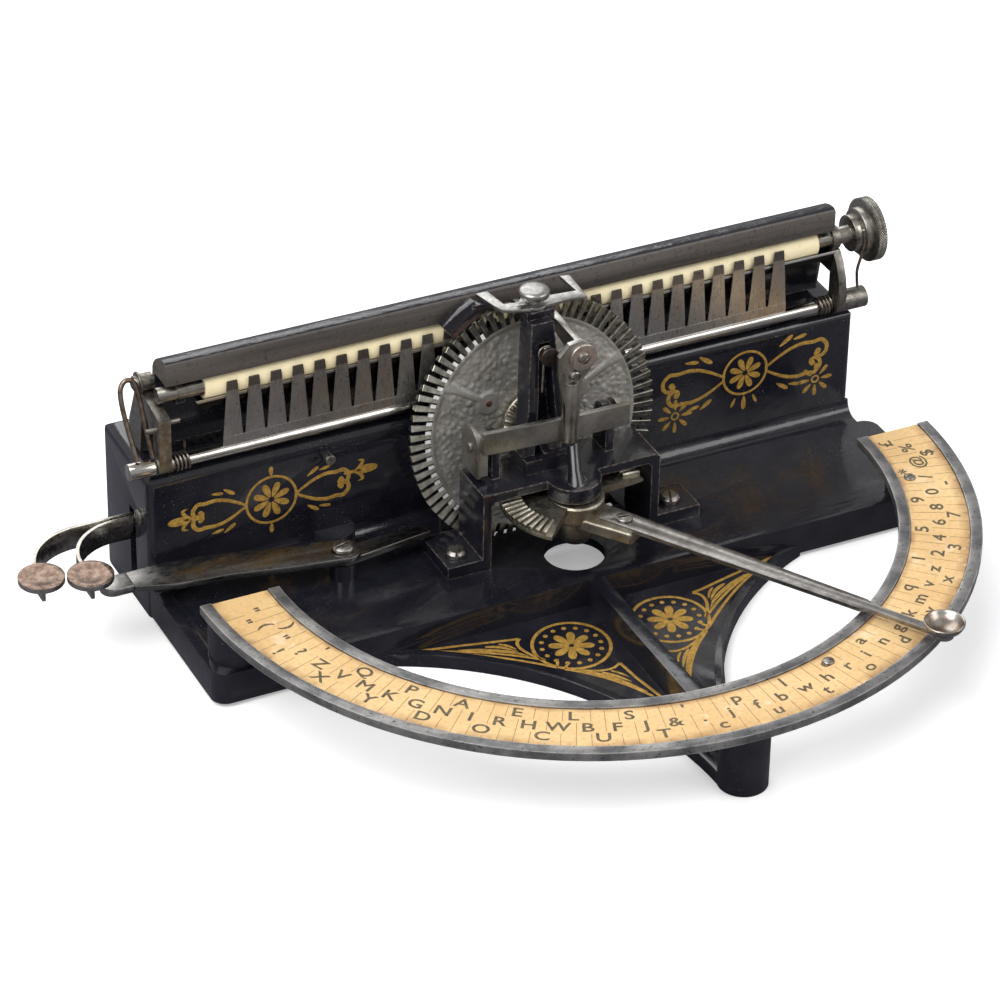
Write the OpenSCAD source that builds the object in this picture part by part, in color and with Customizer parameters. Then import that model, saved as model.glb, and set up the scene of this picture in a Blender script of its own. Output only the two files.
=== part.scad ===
// Index typewriter: a pointer swung over a half-round index turns a
// type wheel through a 2:1 gear; a key throws the hammer behind the wheel.
// Source axes: +X right along the carriage, +Y to the back, +Z up.
// The pointer turns about the vertical line x = 0, y = 0, and z = 0 is the table.

/* [Index ring] */
// Outer radius of the half-round index ring
ring_r = 130; // [118:1:150]
// Radial width of the index ring
ring_w = 26.7; // [22:0.1:30]
// Height of the ring's top face above the table
ring_z = 29.1; // [26:0.1:32]
// Thickness of the ring casting
ring_t = 2.9; // [2.2:0.1:4]

/* [Base casting] */
// Length of the mechanism box
box_len = 253.5; // [220:0.5:300]
// Height of the mechanism box
box_h = 53.2; // [44:0.1:53.2]
// Depth of the mechanism box, front to back
box_d = 38.5; // [34:0.5:50]
// Height of the deck's top face
deck_z = 12.6; // [10:0.1:13.5]
// Thickness of the cast walls
wall = 3; // [2:0.1:3.5]

/* [Pointer] */
// Reach of the pointer to the middle of its finger cup
pointer_reach = 132; // [110:1:155]
// Direction the pointer rests in, degrees from the right-hand side
pointer_rest = -57.6; // [-90:0.1:-30]
// Radius of the finger cup
cup_r = 6.5; // [5:0.1:9]
// Radius of the stud the pointer turns on
stud_r = 3; // [2:0.1:3.6]

/* [Type wheel] */
// Radius over the tips of the type fingers
wheel_r = 43.5; // [38:0.1:43.7]
// Number of type fingers
fingers = 76; // [40:2:90]
// Angle the wheel leans back, in degrees
lean_deg = 7.3; // [5:0.1:8.5]
// Teeth of the bevel pinion; the pointer's gear has twice as many
pinion_teeth = 30; // [24:1:36]
// Radius of the wheel's shaft
wheel_shaft_r = 3; // [2:0.1:3.6]

/* [Carriage] */
// Length of the cream feed roller
roller_len = 218; // [150:1:222]
// Radius of the feed roller
roller_r = 4.4; // [3.8:0.1:4.6]
// Radius of the knurled knob at the roller's right end
knob_r = 10.8; // [8:0.1:12]
// Number of paper fingers on the comb
comb_teeth = 27; // [12:1:28]
// Radius of the rod that carries the comb
rod_r = 2.1; // [1.5:0.05:2.1]

/* [Keys and lever] */
// Radius of the round finger pads of the two keys
pad_r = 7.4; // [5:0.1:7.6]
// Thickness of the flat key strips
strip_t = 1.2; // [0.8:0.1:1.5]
// Running clearance of every turning fit, on the radius
fit = 0.05; // [0.03:0.01:0.1]

/* [Hidden] */
$fn = 64;

// The box, in source coordinates
box_x1 = 122;
box_x0 = box_x1 - box_len;
box_y0 = 38;
box_y1 = box_y0 + box_d;
deck_x0 = box_x0;
deck_x1 = box_x1 + 5.5;
lip_y = -16;
// The ring
ring_in = ring_r - ring_w;
ring_mid = ring_r - ring_w / 2;
ring_floor = ring_z - ring_t;
rim = 3.8;
card_z = ring_z - 0.9;
// The bridge over the pointer
plate_z = 41;
plate_t = 3;
// The wheel
wheel_x = -2.2;
wheel_y = 28.5;
wheel_z = 47.5;
root_r = wheel_r - 7.3;
pin_tip = 11.9;
pin_root = pin_tip - 1.6;
// The pointer's crown gear
crown_r = 24.8;
crown_z = 36.5;
crown_teeth = 2 * pinion_teeth;
// The roller, the comb rod and the platen bar
roller_y = 42;
roller_z = 80.6;
roller_x0 = 107 - roller_len;
shaft_r = 2.9;
rod_y = 37.5;
rod_z = 58;
bar_x0 = -124.3;
bar_x1 = 112.6;
comb_pitch = 7.46;
knob_x1 = 129.4;
// The keys
key_px = -100;
key_pz = 28.5;
pad_out = [-171, 29];
pad_in = [-156.6, 24];
yoke_y = 15;
yoke_z = 52.4;
lever_x = -73;
lever_y = 19;
pawl_x = 40;
pawl_z = 46;
drum_x = 70;
drum_y = 57;
// The whole object stands centred over the origin
min_x = min(pad_out[0] - pad_r, deck_x0, -ring_r);
max_x = max(knob_x1, deck_x1, ring_r);
min_y = min(-ring_r, -pointer_reach * sin(-pointer_rest) - cup_r);
max_y = max(box_y1, 62);
cx = (min_x + max_x) / 2;
cy = (min_y + max_y) / 2;

module put() { translate([-cx, -cy, 0]) children(); }
module lean() { put() translate([0, wheel_y, wheel_z]) rotate([-lean_deg, 0, 0]) children(); }
// The wheel's own axle, to the left of the column's middle
module axle() { lean() translate([wheel_x, 0, 0]) children(); }
module swing() { put() rotate(pointer_rest) children(); }
// A flat shape drawn in x and z, made solid from y0 to y1
module plate_y(y0, y1) { translate([0, y1, 0]) rotate([90, 0, 0]) linear_extrude(y1 - y0) children(); }
// A flat shape drawn in y and z, made solid from x0 to x1
module plate_x(x0, x1) { translate([x0, 0, 0]) rotate([90, 0, 90]) linear_extrude(x1 - x0) children(); }
module rod_x(r, x0, x1, y, z) { translate([x0, y, z]) rotate([0, 90, 0]) cylinder(r = r, h = x1 - x0); }
module rod_yy(r, y0, y1, x, z) { translate([x, y0, z]) rotate([-90, 0, 0]) cylinder(r = r, h = y1 - y0); }
module block(a, b) { translate(a) cube(b - a); }
module rrect(a, b, r) {
  translate([a[0] + r, a[1]]) square([b[0] - a[0] - 2 * r, b[1] - a[1]]);
  translate([a[0], a[1] + r]) square([b[0] - a[0], b[1] - a[1] - 2 * r]);
  for (x = [a[0] + r, b[0] - r], y = [a[1] + r, b[1] - r])
    translate([x, y]) circle(r);
}
// A round-head screw with a straight slot, its head's underside at z = 0
module slot_screw(head_r, head_h, shank_r, shank_h, turn) {
  difference() {
    union() {
      cylinder(r = head_r, h = head_h * 0.6);
      translate([0, 0, head_h * 0.6]) cylinder(r1 = head_r, r2 = head_r * 0.72, h = head_h * 0.4);
    }
    rotate(turn) translate([-head_r - 1, -0.35, head_h * 0.45]) cube([2 * head_r + 2, 0.7, head_h]);
  }
  translate([0, 0, -shank_h]) cylinder(r = shank_r, h = shank_h);
}
// A bent wire through a list of points, as one eight-sided tube.
// ref is a direction that no stretch of the wire runs along
function unit(v) = v / norm(v);
module wire(pts, r, ref) {
  m = len(pts);
  dirs = [for (i = [0:m - 1]) unit(pts[min(i + 1, m - 1)] - pts[max(i - 1, 0)])];
  side = [for (d = dirs) unit(cross(d, ref))];
  over = [for (i = [0:m - 1]) cross(dirs[i], side[i])];
  ends = [for (i = [0:m - 1]) for (k = [0:7]) pts[i] + r * (cos(45 * k) * side[i] + sin(45 * k) * over[i])];
  skin = [for (i = [0:m - 2]) for (k = [0:7])
    [i * 8 + k, (i + 1) * 8 + k, (i + 1) * 8 + (k + 1) % 8, i * 8 + (k + 1) % 8]];
  polyhedron(ends, concat(skin, [[for (k = [0:7]) k], [for (k = [7:-1:0]) (m - 1) * 8 + k]]), convexity = 6);
}
// A wound spring about its own z axis with two straight legs, as one tube.
// big: radius of the winding, thin: radius of the wire, up: climb per turn
function ring_pt(c, a, thin, k) = c + thin * [cos(60 * k) * cos(a), cos(60 * k) * sin(a), sin(60 * k)];
module wound(big, thin, turns, up, leg0, leg1) {
  n = round(turns * 8);
  last = turns * 360;
  a = [for (i = [0:n]) last * i / n];
  mid = [for (t = a) [big * cos(t), big * sin(t), up * t / 360]];
  start = mid[0] - leg0 * [0, 1, 0];
  stop = mid[n] + leg1 * [-sin(last), cos(last), 0];
  cs = concat([start], mid, [stop]);
  as = concat([0], a, [last]);
  m = n + 3;
  pts = [for (i = [0:m - 1]) for (k = [0:5]) ring_pt(cs[i], as[i], thin, k)];
  sides = [for (i = [0:m - 2]) for (k = [0:5])
    [i * 6 + k, i * 6 + (k + 1) % 6, (i + 1) * 6 + (k + 1) % 6, (i + 1) * 6 + k]];
  polyhedron(pts, concat(sides, [[for (k = [5:-1:0]) k], [for (k = [0:5]) (m - 1) * 6 + k]]), convexity = 10);
  // least gap between two stretches of the wire, measured between points along its middle
  line = concat(steps(start, mid[0], 2), mid, steps(mid[n], stop, 8));
  apart = [for (i = [0:len(line) - 1]) for (j = [i + 6:1:len(line) - 1]) norm(line[i] - line[j])];
  echo(winding_gap = min(apart) - 2 * thin, curls = turns);
}
function steps(a, b, n) = [for (i = [0:n]) a + (b - a) * i / n];

// ---- The base ----
module box_solid() {
  intersection() {
    plate_x(box_x0 - 1, box_x1 + 4) difference() {
      union() {
        rrect([box_y0, 0], [box_y1, box_h], 4);
        translate([box_y0, 0]) square([8, 12]);
      }
    }
    plate_y(box_y0 - 1, box_y1 + 1) rrect([box_x0, -6], [box_x1, box_h], 4);
    translate([0, 0, -1]) linear_extrude(box_h + 2) rrect([box_x0, box_y0], [box_x1, box_y1], 2.5);
  }
}
module deck_shape(grow) {
  rrect([deck_x0 - grow, lip_y - grow], [deck_x1 + grow, 31 + grow], 5 + grow);
  translate([deck_x0 - grow, 5]) square([box_len + 2 * grow, box_y0 - 4.5]);
}
module web_shape() {
  difference() {
    translate([-75, -116]) square([150, 101]);
    for (s = [-1, 1]) translate([s * 116, -116]) circle(108.3, $fn = 160);
  }
}
module base_casting() {
  color([0.13, 0.13, 0.16]) put() difference() {
    union() {
      box_solid();
      translate([0, 0, deck_z - wall]) linear_extrude(wall) deck_shape(0);
      translate([0, 0, 1.4]) linear_extrude(deck_z - wall) difference() {
        deck_shape(0);
        deck_shape(-wall);
      }
      // hollow fillet along the foot of the box's front wall
      plate_x(box_x0, box_x1) difference() {
        translate([box_y0 - 5, deck_z - 0.5]) square([6, 5.5]);
        translate([box_y0 - 5, deck_z + 5]) circle(5);
      }
      // flat spider to the front foot, beaded along its hollow edges
      translate([0, 0, 0.6]) linear_extrude(2.4) web_shape();
      linear_extrude(4.6) intersection() {
        web_shape();
        for (s = [-1, 1]) translate([s * 116, -116]) circle(111.3, $fn = 160);
      }
      block([-2.6, -112, 0.4], [2.6, lip_y + 1, deck_z]);
      // front foot and the two posts that carry the ring
      translate([0, -ring_mid + 1.1, 0]) cylinder(r = 8, h = ring_floor);
      for (s = [-1, 1]) translate([s * (ring_mid + 4.3), -6, deck_z - 1])
        cylinder(r = 8.5, h = ring_floor - deck_z + 1);
      // raised line round the left of the deck, bosses and lugs
      block([deck_x0 + 4, -6, deck_z - 1], [deck_x0 + 5.6, 33, deck_z + 0.8]);
      translate([-68, box_y0, deck_z - 1]) cylinder(r = 7, h = 6.5);
      translate([lever_x, lever_y, deck_z - 1]) cylinder(r = 4.4, h = 6.6);
      for (y = [53, 60.1]) block([pawl_x - 5, y, 42], [pawl_x + 5, y + 1.9, box_h - 2]);
    }
    // hollow of the box, with a step over the rounded rear corner
    block([box_x0 + wall, box_y0 + wall, 8], [box_x1 - wall, 53, box_h - wall]);
    block([box_x0 + wall, box_y1 - 12, 8], [box_x1 - wall, box_y1 - wall, box_h - wall]);
    block([box_x0 + wall, 52.9, 8], [pawl_x - 5, box_y1 - 11.9, box_h - wall]);
    block([pawl_x + 5, 52.9, 8], [box_x1 - wall, box_y1 - 11.9, box_h - wall]);
    block([pawl_x - 5.1, 52.9, 8], [pawl_x + 5.1, box_y1 - 11.9, 42]);
    block([box_x0 + wall, box_y0 + wall, -1], [box_x1 - wall, box_y1 - 7.5, 8.1]);
    // pointer hole, wheel slot, key slot and pawl slot
    translate([0, 0, -1]) cylinder(r = 10, h = deck_z + 2);
    block([wheel_x - 28, 19.5, 2.9], [wheel_x + 28, 32.5, deck_z + 1]);
    block([box_x0 - 1, 49.5, 9], [box_x0 + wall + 1, 54.5, 34.5]);
    block([pawl_x - 6, 54.9, 41], [pawl_x + 6, 60.1, box_h + 1]);
    rod_yy(1.2, 52, 63, pawl_x, pawl_z);
    translate([lever_x, lever_y, deck_z - 4]) cylinder(r = 1.6, h = 14);
    rod_x(1.5, box_x0 - 1, box_x0 + wall + 1, 45.5, 35);
    rod_yy(1.75, box_y0 - 1, box_y0 + wall + 1, -69.7, 45.6);
    for (x = [-38, 39]) translate([x, 9, deck_z - 4]) cylinder(r = 1.5, h = 8);
  }
}
module base_cover() {
  color([0.2, 0.2, 0.22]) put() difference() {
    union() {
      block([box_x0 + wall + 0.2, box_y0 + wall + 0.2, 0.6], [box_x1 - wall - 0.2, box_y1 - 7.7, 2.2]);
      translate([drum_x, drum_y, 2]) cylinder(r = 7, h = 24);
    }
    translate([drum_x, drum_y, 8]) cylinder(r = 2 + fit, h = 20);
  }
}
module wall_stud() { color([0.5, 0.5, 0.5]) put() rod_yy(1.75, box_y0 - 2.6, box_y0 + 3, -69.7, 45.6); }
module end_screw() {
  color([0.6, 0.58, 0.54]) put() translate([box_x0, 45.5, 35]) rotate([0, -90, 0])
    slot_screw(2.6, 1.2, 1.5, 4, 25);
}
module key_block() {
  color([0.25, 0.25, 0.27]) put() difference() {
    union() {
      block([key_px - 4, box_y0 + wall, 14], [key_px + 4, 57.5, 18]);
      block([key_px - 4, box_y0 + wall, 18], [key_px + 4, 49.4, 35]);
      block([key_px - 4, 54.6, 18], [key_px + 4, 57.5, 35]);
    }
    rod_yy(1.5, box_y0, 60, key_px, key_pz);
  }
}
module key_pin() { color([0.6, 0.6, 0.6]) put() rod_yy(1.5, 45, 58.5, key_px, key_pz); }
module pawl_pin() { color([0.6, 0.6, 0.6]) put() rod_yy(1.2, 53, 62, pawl_x, pawl_z); }
module spring_drum() {
  color([0.5, 0.5, 0.5]) put() {
    translate([drum_x, drum_y, 26.6]) cylinder(r = 12, h = 14);
    translate([drum_x, drum_y, 10]) cylinder(r = 2, h = 17);
  }
}
module index_channel() {
  color([0.62, 0.63, 0.66]) put() difference() {
    rotate(180) rotate_extrude(angle = 180, $fn = 180) difference() {
      translate([ring_in, ring_floor]) square([ring_w, ring_t]);
      translate([ring_in + rim, card_z]) square([ring_w - 2 * rim, 4]);
    }
    for (a = [-72.4, -14.1]) rotate(a) translate([104.5 / 130 * ring_r + 6.5, 0, ring_floor - 1])
      cylinder(r = 1.2, h = 6);
  }
}
module index_card() {
  color([0.9, 0.82, 0.66]) put() difference() {
    rotate(180) rotate_extrude(angle = 180, $fn = 180)
      translate([ring_in + rim + 0.2, card_z]) square([ring_w - 2 * rim - 0.4, 0.4]);
    for (a = [-72.4, -14.1]) rotate(a) translate([104.5 / 130 * ring_r + 6.5, 0, ring_floor])
      cylinder(r = 1.2, h = 6);
  }
}
module index_screws() {
  color([0.72, 0.7, 0.68]) put() for (a = [-72.4, -14.1]) rotate(a)
    translate([104.5 / 130 * ring_r + 6.5, 0, card_z + 0.4]) slot_screw(1.9, 0.8, 1.2, 1.8, 30);
}
module bridge_bracket() {
  color([0.14, 0.14, 0.17]) put() difference() {
    union() {
      plate_y(2.5, 20.6) {
        translate([-31.5, plate_z - plate_t]) square([61, plate_t]);
        translate([-31.5, deck_z]) square([3, plate_z - deck_z - 1]);
        translate([28.5, deck_z]) square([3, plate_z - deck_z - 1]);
      }
      rod_yy(2.2, 2.5, 20.6, -29.3, plate_z - 2.2);
      rod_yy(2.2, 2.5, 20.6, 29.3, plate_z - 2.2);
      block([-43.8, 2.5, deck_z], [-30, 22.2, deck_z + 4.4]);
      block([30, 2.5, deck_z], [46.8, 17, deck_z + 4.4]);
      translate([0, 2, plate_z - 5.2]) cylinder(r = 9, h = 5.2);
      // lugs that hold the two yoke pins
      for (x = [-25, 15.6]) plate_x(x, x + 3) {
        translate([10.6, plate_z - 1]) square([9.4, yoke_z - plate_z + 1]);
        translate([yoke_y, yoke_z]) circle(4.7);
      }
    }
    translate([0, 0, plate_z - 7]) cylinder(r = stud_r, h = 8);
    for (x = [-38, 39]) translate([x, 9, deck_z - 1]) cylinder(r = 1.5, h = 8);
    for (x = [-26, 14.6]) rod_x(1.8, x, x + 5, yoke_y, yoke_z);
  }
}
module bridge_screws() {
  color([0.5, 0.45, 0.42]) put() for (x = [-38, 39]) translate([x, 9, deck_z + 4.4])
    slot_screw(3.4, 2.2, 1.5, 7, 70);
}
module column() {
  color([0.12, 0.12, 0.15]) difference() {
    union() {
      put() block([-14, 8, plate_z], [2, 20.4, plate_z + 5]);
      put() block([-8.6, 20.4, 88], [1, 29.6, 93]);
      lean() plate_y(-11, -8.6)
        polygon([[-14, -5], [2, -5], [0.6, 10], [-1, 41.6], [-8.6, 41.6], [-10.2, 24], [-11, 12]]);
      lean() plate_y(-17, -8.6) {
        polygon([[-14, -5], [-9.8, -5], [-8.6, 4], [-7.6, 12], [-6.9, 24], [-6.2, 41.6], [-8.6, 41.6],
          [-10.2, 24], [-11, 12], [-12.4, 4]]);
        polygon([[-0.4, -5], [2, -5], [0.6, 10], [-1, 41.6], [-3, 41.6], [-1.6, 10]]);
        translate([-8.6, 34.6]) square([7.6, 7]);
      }
      axle() rod_yy(5.5, -17.6, -6, 0, 0);
    }
    axle() rod_yy(wheel_shaft_r + fit, -19, -5, 0, 0);
    lean() rod_yy(1.7, -19, -5, -5, 31.6);
    put() translate([-4, 25.2, 89]) cylinder(r = 1.6, h = 8);
  }
}
module column_stud() {
  color([0.35, 0.32, 0.31]) lean() {
    rod_yy(3.1, -22.2, -20.4, -5, 31.6);
    rod_yy(1.7, -20.4, -7, -5, 31.6);
  }
}
module column_spring() {
  color([0.55, 0.52, 0.5]) lean() translate([-5, -17.8, 31.6]) rotate([90, 0, 0]) rotate(8)
    mirror([1, 0, 0]) wound(2.5, 0.35, 1.5, 1.15, 3, 18);
}
module guide_plate() {
  color([0.78, 0.77, 0.75]) put() difference() {
    translate([0, 0, 93]) linear_extrude(1.2) {
      polygon([[-18.8, 37], [-16.6, 27.4], [-15.4, 24.6], [-12, 22.8], [-7, 21.6], [0, 21.8], [8.4, 22.2],
        [12.9, 21.1], [13.6, 35.4], [10.4, 36], [11.2, 25.8], [2, 26.8], [-10, 27], [-13.4, 27.6], [-14.8, 37]]);
      translate([-4, 25.2]) circle(4.6);
    }
    translate([-4, 25.2, 90]) cylinder(r = 1.6, h = 6);
  }
}
module thumb_screw() {
  color([0.75, 0.74, 0.72]) put() translate([-4, 25.2, 0]) {
    translate([0, 0, 89]) cylinder(r = 1.6, h = 5.4);
    translate([0, 0, 94.2]) cylinder(r1 = 2.4, r2 = 2.9, h = 2.3);
    translate([0, 0, 96.5]) difference() {
      cylinder(r = 5, h = 2.7);
      for (a = [0:15:345]) rotate(a) translate([5.25, 0, -1]) cylinder(r = 0.45, h = 5, $fn = 16);
    }
  }
}
module ink_arm() {
  color([0.2, 0.2, 0.22]) {
    put() block([-22, 32, 91.8], [-14.8, 35.2, 93]);
    axle() rotate([90, 0, 0]) rotate([0, 0, 112]) rotate_extrude(angle = 15)
      translate([wheel_r + 2.6, -1.8]) square([4.6, 3.6]);
  }
}
module ink_pad() {
  color([0.25, 0.1, 0.08]) axle() rotate([90, 0, 0]) rotate([0, 0, 112]) rotate_extrude(angle = 15)
    translate([wheel_r + 0.6, -1.6]) square([2, 3.2]);
}
// Horn that leans back from the pointer's pivot to the foot of the hammer lever
module stop_pin() {
  color([0.16, 0.14, 0.16]) put() difference() {
    translate([-0.6, -0.7, plate_z]) rotate([0, 0, -15.4]) rotate([-37.9, 0, 0]) {
      translate([0, 0, -3]) cylinder(r = 2.1, h = 14.6);
      translate([0, 0, -3]) cylinder(r1 = 3.6, r2 = 2.1, h = 6);
    }
    block([-9, -9, plate_z - 9], [9, 9, plate_z]);
  }
}
module pointer_stud() {
  color([0.5, 0.5, 0.5]) put() translate([0, 0, 22]) cylinder(r = stud_r, h = plate_z - 22);
}
module lever_screw() {
  color([0.6, 0.6, 0.58]) put() translate([lever_x, lever_y, 0]) {
    translate([0, 0, deck_z - 3.4]) cylinder(r = 1.6, h = 9);
    translate([0, 0, deck_z + 5.6]) cylinder(r = 2, h = 23 - deck_z - 5.6);
    translate([0, 0, 23]) slot_screw(3.6, 1.6, 1, 0.5, 15);
  }
}
module arm_stop() { color([0.5, 0.5, 0.52]) put() block([-34, 28.4, deck_z], [-30.4, 30.2, 23.6]); }
module guide_block() {
  color([0.3, 0.3, 0.32]) put() difference() {
    block([-14, 51, box_h], [14, 63.2, 62]);
    block([-15, 53 - fit, 55 - fit], [15, 61 + fit, 60 + fit]);
  }
}
module yoke_pins() {
  color([0.6, 0.5, 0.48]) put() {
    rod_x(1.8, -31.4, -22, yoke_y, yoke_z);
    rod_x(1.8, 15.6, 23.2, yoke_y, yoke_z);
  }
}

// ---- The pointer ----
module pointer_gear() {
  color([0.7, 0.68, 0.62]) swing() difference() {
    union() {
      translate([0, 0, 23]) cylinder(r = 7, h = 5);
      translate([0, 0, 19]) cylinder(r1 = 4.6, r2 = 7, h = 4);
      translate([0, 0, 28]) cylinder(r = 9.2, h = 7.2);
      rotate(60) rotate_extrude(angle = 223.2)
        translate([8, crown_z - 4]) square([crown_r - 8, 2.4]);
      for (k = [-30:30]) {
        a = 90 - pointer_rest + (k + 0.5) * 360 / crown_teeth;
        if (abs(a - 171.6) < 109)
          rotate(a) translate([crown_r - 6.9, 0, crown_z - 1.6]) rotate([90, 0, 90]) linear_extrude(6.8)
            polygon([[-0.75, -0.2], [0.75, -0.2], [0.3, 1.6], [-0.3, 1.6]]);
      }
      translate([0, 0, 26.5]) linear_extrude(4.5) polygon([[4, -6.8], [23.6, -5], [23.6, 5], [4, 6.8]]);
    }
    translate([0, 0, 21]) cylinder(r = stud_r + fit, h = 20);
    translate([18, 0, 25]) cylinder(r = 1.3, h = 8);
  }
}
module pointer_blade() {
  color([0.68, 0.68, 0.68]) swing() difference() {
    translate([0, 0, 31]) linear_extrude(1.4) union() {
      polygon([[11, -4], [104, -2.8], [107, -1.6], [pointer_reach, -1.6], [pointer_reach, 1.6],
        [107, 1.6], [104, 2.8], [11, 4]]);
      translate([pointer_reach, 0]) circle(3.2);
    }
    translate([18, 0, 30]) cylinder(r = 1.3, h = 4);
    translate([pointer_reach, 0, 30]) cylinder(r = 1.5, h = 4);
  }
}
module finger_cup() {
  color([0.66, 0.66, 0.66]) swing() translate([pointer_reach, 0, 0]) {
    translate([0, 0, 30.4]) cylinder(r = 1.5, h = 3);
    rotate_extrude() polygon([[0, 32.4], [cup_r - 2, 32.4], [cup_r, 35.2], [cup_r, 36.6], [cup_r - 0.8, 36.6],
      [cup_r - 1.6, 34.6], [0, 33.8]]);
  }
}
module pointer_screw() {
  color([0.6, 0.6, 0.6]) swing() translate([18, 0, 32.4]) slot_screw(2.7, 1.1, 1.3, 5.6, 50);
}

// ---- The type wheel ----
module wheel_disc() {
  color([0.62, 0.6, 0.57]) axle() difference() {
    union() {
      rod_yy(root_r, -0.8, 0.8, 0, 0);
      rod_yy(7.4, -0.8, 2.6, 0, 0);
      plate_y(-1.5, -0.7) {
        difference() {
          circle(root_r);
          circle(root_r - 1.6);
        }
        for (a = [27, 147, 267]) rotate(a) translate([15, -0.8]) square([root_r - 15.5, 1.6]);
        for (a = [27, 147, 267]) rotate(a) translate([18.4, 0]) circle(4);
      }
    }
    rod_yy(wheel_shaft_r, -3, 4, 0, 0);
    for (a = [27, 147, 267]) rotate([0, -a, 0]) rod_yy(1.2, -3, 3, 18.4, 0);
  }
}
module wheel_fingers() {
  color([0.66, 0.64, 0.58]) axle() plate_y(-1.6, 1.2) {
    difference() {
      circle(root_r + 1.5);
      circle(root_r);
    }
    for (k = [0:fingers - 1]) rotate(90 + k * 360 / fingers) translate([root_r + 1.2, -0.65])
      square([wheel_r - root_r - 1.2, 1.3]);
  }
}
module wheel_back() {
  color([0.12, 0.12, 0.13]) axle() plate_y(0.8, 1.4) difference() {
    circle(root_r - 0.4);
    circle(24);
  }
}
module wheel_pinion() {
  color([0.7, 0.66, 0.56]) axle() difference() {
    plate_y(-5.2, -1.5) {
      circle(pin_root);
      for (k = [0:pinion_teeth - 1]) rotate(270 + k * 360 / pinion_teeth)
        polygon([[pin_root - 0.4, -0.85], [pin_tip, -0.3], [pin_tip, 0.3], [pin_root - 0.4, 0.85]]);
    }
    rod_yy(wheel_shaft_r, -7, 0, 0, 0);
  }
  color([0.7, 0.66, 0.56]) axle() difference() {
    rod_yy(8, -1.5, -0.8, 0, 0);
    rod_yy(wheel_shaft_r, -7, 0, 0, 0);
  }
}
module wheel_shaft() {
  color([0.5, 0.5, 0.5]) axle() {
    rod_yy(wheel_shaft_r, -17.4, 2.6, 0, 0);
    rod_yy(4.2, 2.6, 4, 0, 0);
  }
}
module wheel_rivets() {
  color([0.62, 0.48, 0.44]) axle() for (a = [27, 147, 267]) rotate([0, -a, 0])
    rod_yy(1.2, -1.6, 0.8, 18.4, 0);
}

// ---- The printing yoke ----
module yoke_strap() {
  color([0.66, 0.66, 0.63]) put() difference() {
    union() {
      plate_y(7.5, 9.4)
        polygon([[-29.2, 53], [4, 51.5], [22.4, 51.5], [22.4, 59.2], [4, 59.4], [-29.2, 60.9]]);
      // left ear, a flange with the strap's end wrapped round behind it
      plate_x(-30.8, -29.4) {
        translate([15, 54.6]) circle(5.6);
        translate([9.4, 43.3]) square([11.2, 11.3]);
      }
      plate_x(-29.5, -26.6) {
        translate([15, 52.8]) circle(4.9);
        translate([10.1, 43.4]) square([9.8, 9.4]);
        translate([7.6, 53.2]) square([7.4, 6]);
      }
      plate_x(20.2, 22.3) {
        translate([7.6, 51.6]) square([7.4, 5.6]);
        translate([yoke_y, yoke_z]) circle(5);
      }
    }
    rod_x(1.8 + fit, -40, 40, yoke_y, yoke_z);
  }
}
module hammer_lever() {
  color([0.68, 0.66, 0.6]) {
    put() difference() {
      union() {
        plate_y(5.6, 7.5) polygon([[-2, 51.6], [2.8, 51.6], [3.8, 74], [6.6, 77.4], [8.4, 82], [7, 87],
          [3.6, 88.6], [-1, 88], [-4.4, 84], [-4.2, 76], [-2.8, 68]]);
        translate([0.3, 0, 52]) linear_extrude(22) intersection() {
          translate([0, 6.2]) circle(2.3);
          translate([-3, 3]) square([6, 4.3]);
        }
        plate_x(2.2, 4.6) polygon([[6, 78], [9, 78], [13, 81], [29, 84.6], [29, 88], [10, 87.8], [6, 87.4]]);
      }
      rod_yy(1.2, 4, 8, 1.2, 76.3);
      rod_yy(1.2, 4, 8, 3.7, 82.8);
    }
    lean() block([-5.6, -5.4, 35], [4.4, -4.2, 39]);
  }
}
module yoke_washer() {
  color([0.72, 0.68, 0.64]) put() difference() {
    rod_yy(4.7, 4.4, 5.6, 3.7, 82.8);
    rod_yy(1.2, 4, 6, 3.7, 82.8);
  }
}
module yoke_screws() {
  color([0.68, 0.66, 0.64]) put() {
    translate([1.2, 5.6, 76.3]) rotate([90, 0, 0]) slot_screw(1.9, 1.3, 1.2, 1.9, 20);
    translate([3.7, 4.4, 82.8]) rotate([90, 0, 0]) slot_screw(2, 0.9, 1.2, 3.1, 40);
  }
}

// ---- The carriage ----
module platen_bar() {
  color([0.16, 0.15, 0.15]) put() plate_x(bar_x0, bar_x1) {
    polygon([[38, 85.4], [49.5, 85.4], [49.5, 87], [48.7, 88.9], [47, 90.9], [44.8, 92.5], [42.4, 93.4],
      [40, 93.7], [38.6, 93.4], [38, 92.7]]);
  }
}
module left_bracket() {
  color([0.5, 0.48, 0.44]) put() difference() {
    union() {
      plate_x(-128.3, bar_x0) {
        polygon([[34.6, 57], [39.6, 57], [39.6, 69], [49.4, 68], [51.6, 55], [61, 55], [60.4, 63], [57.4, 70],
          [53.4, 79.6], [46.8, 78.2], [38, 76.6], [34.6, 75.8]]);
        translate([50.3, 81.4]) circle(2.8);
      }
      rod_x(2.9, -128.8, -123.6, rod_y, rod_z);
      rod_x(0.9, -131.8, -128, 37.2, 71.6);
      rod_x(0.9, bar_x0 - 0.5, -120.6, 36.8, 73.6);
    }
    rod_x(rod_r + fit, -130, -120, rod_y, rod_z);
    rod_x(1.5, -130, -120, 50.3, 81.4);
  }
}
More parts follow.
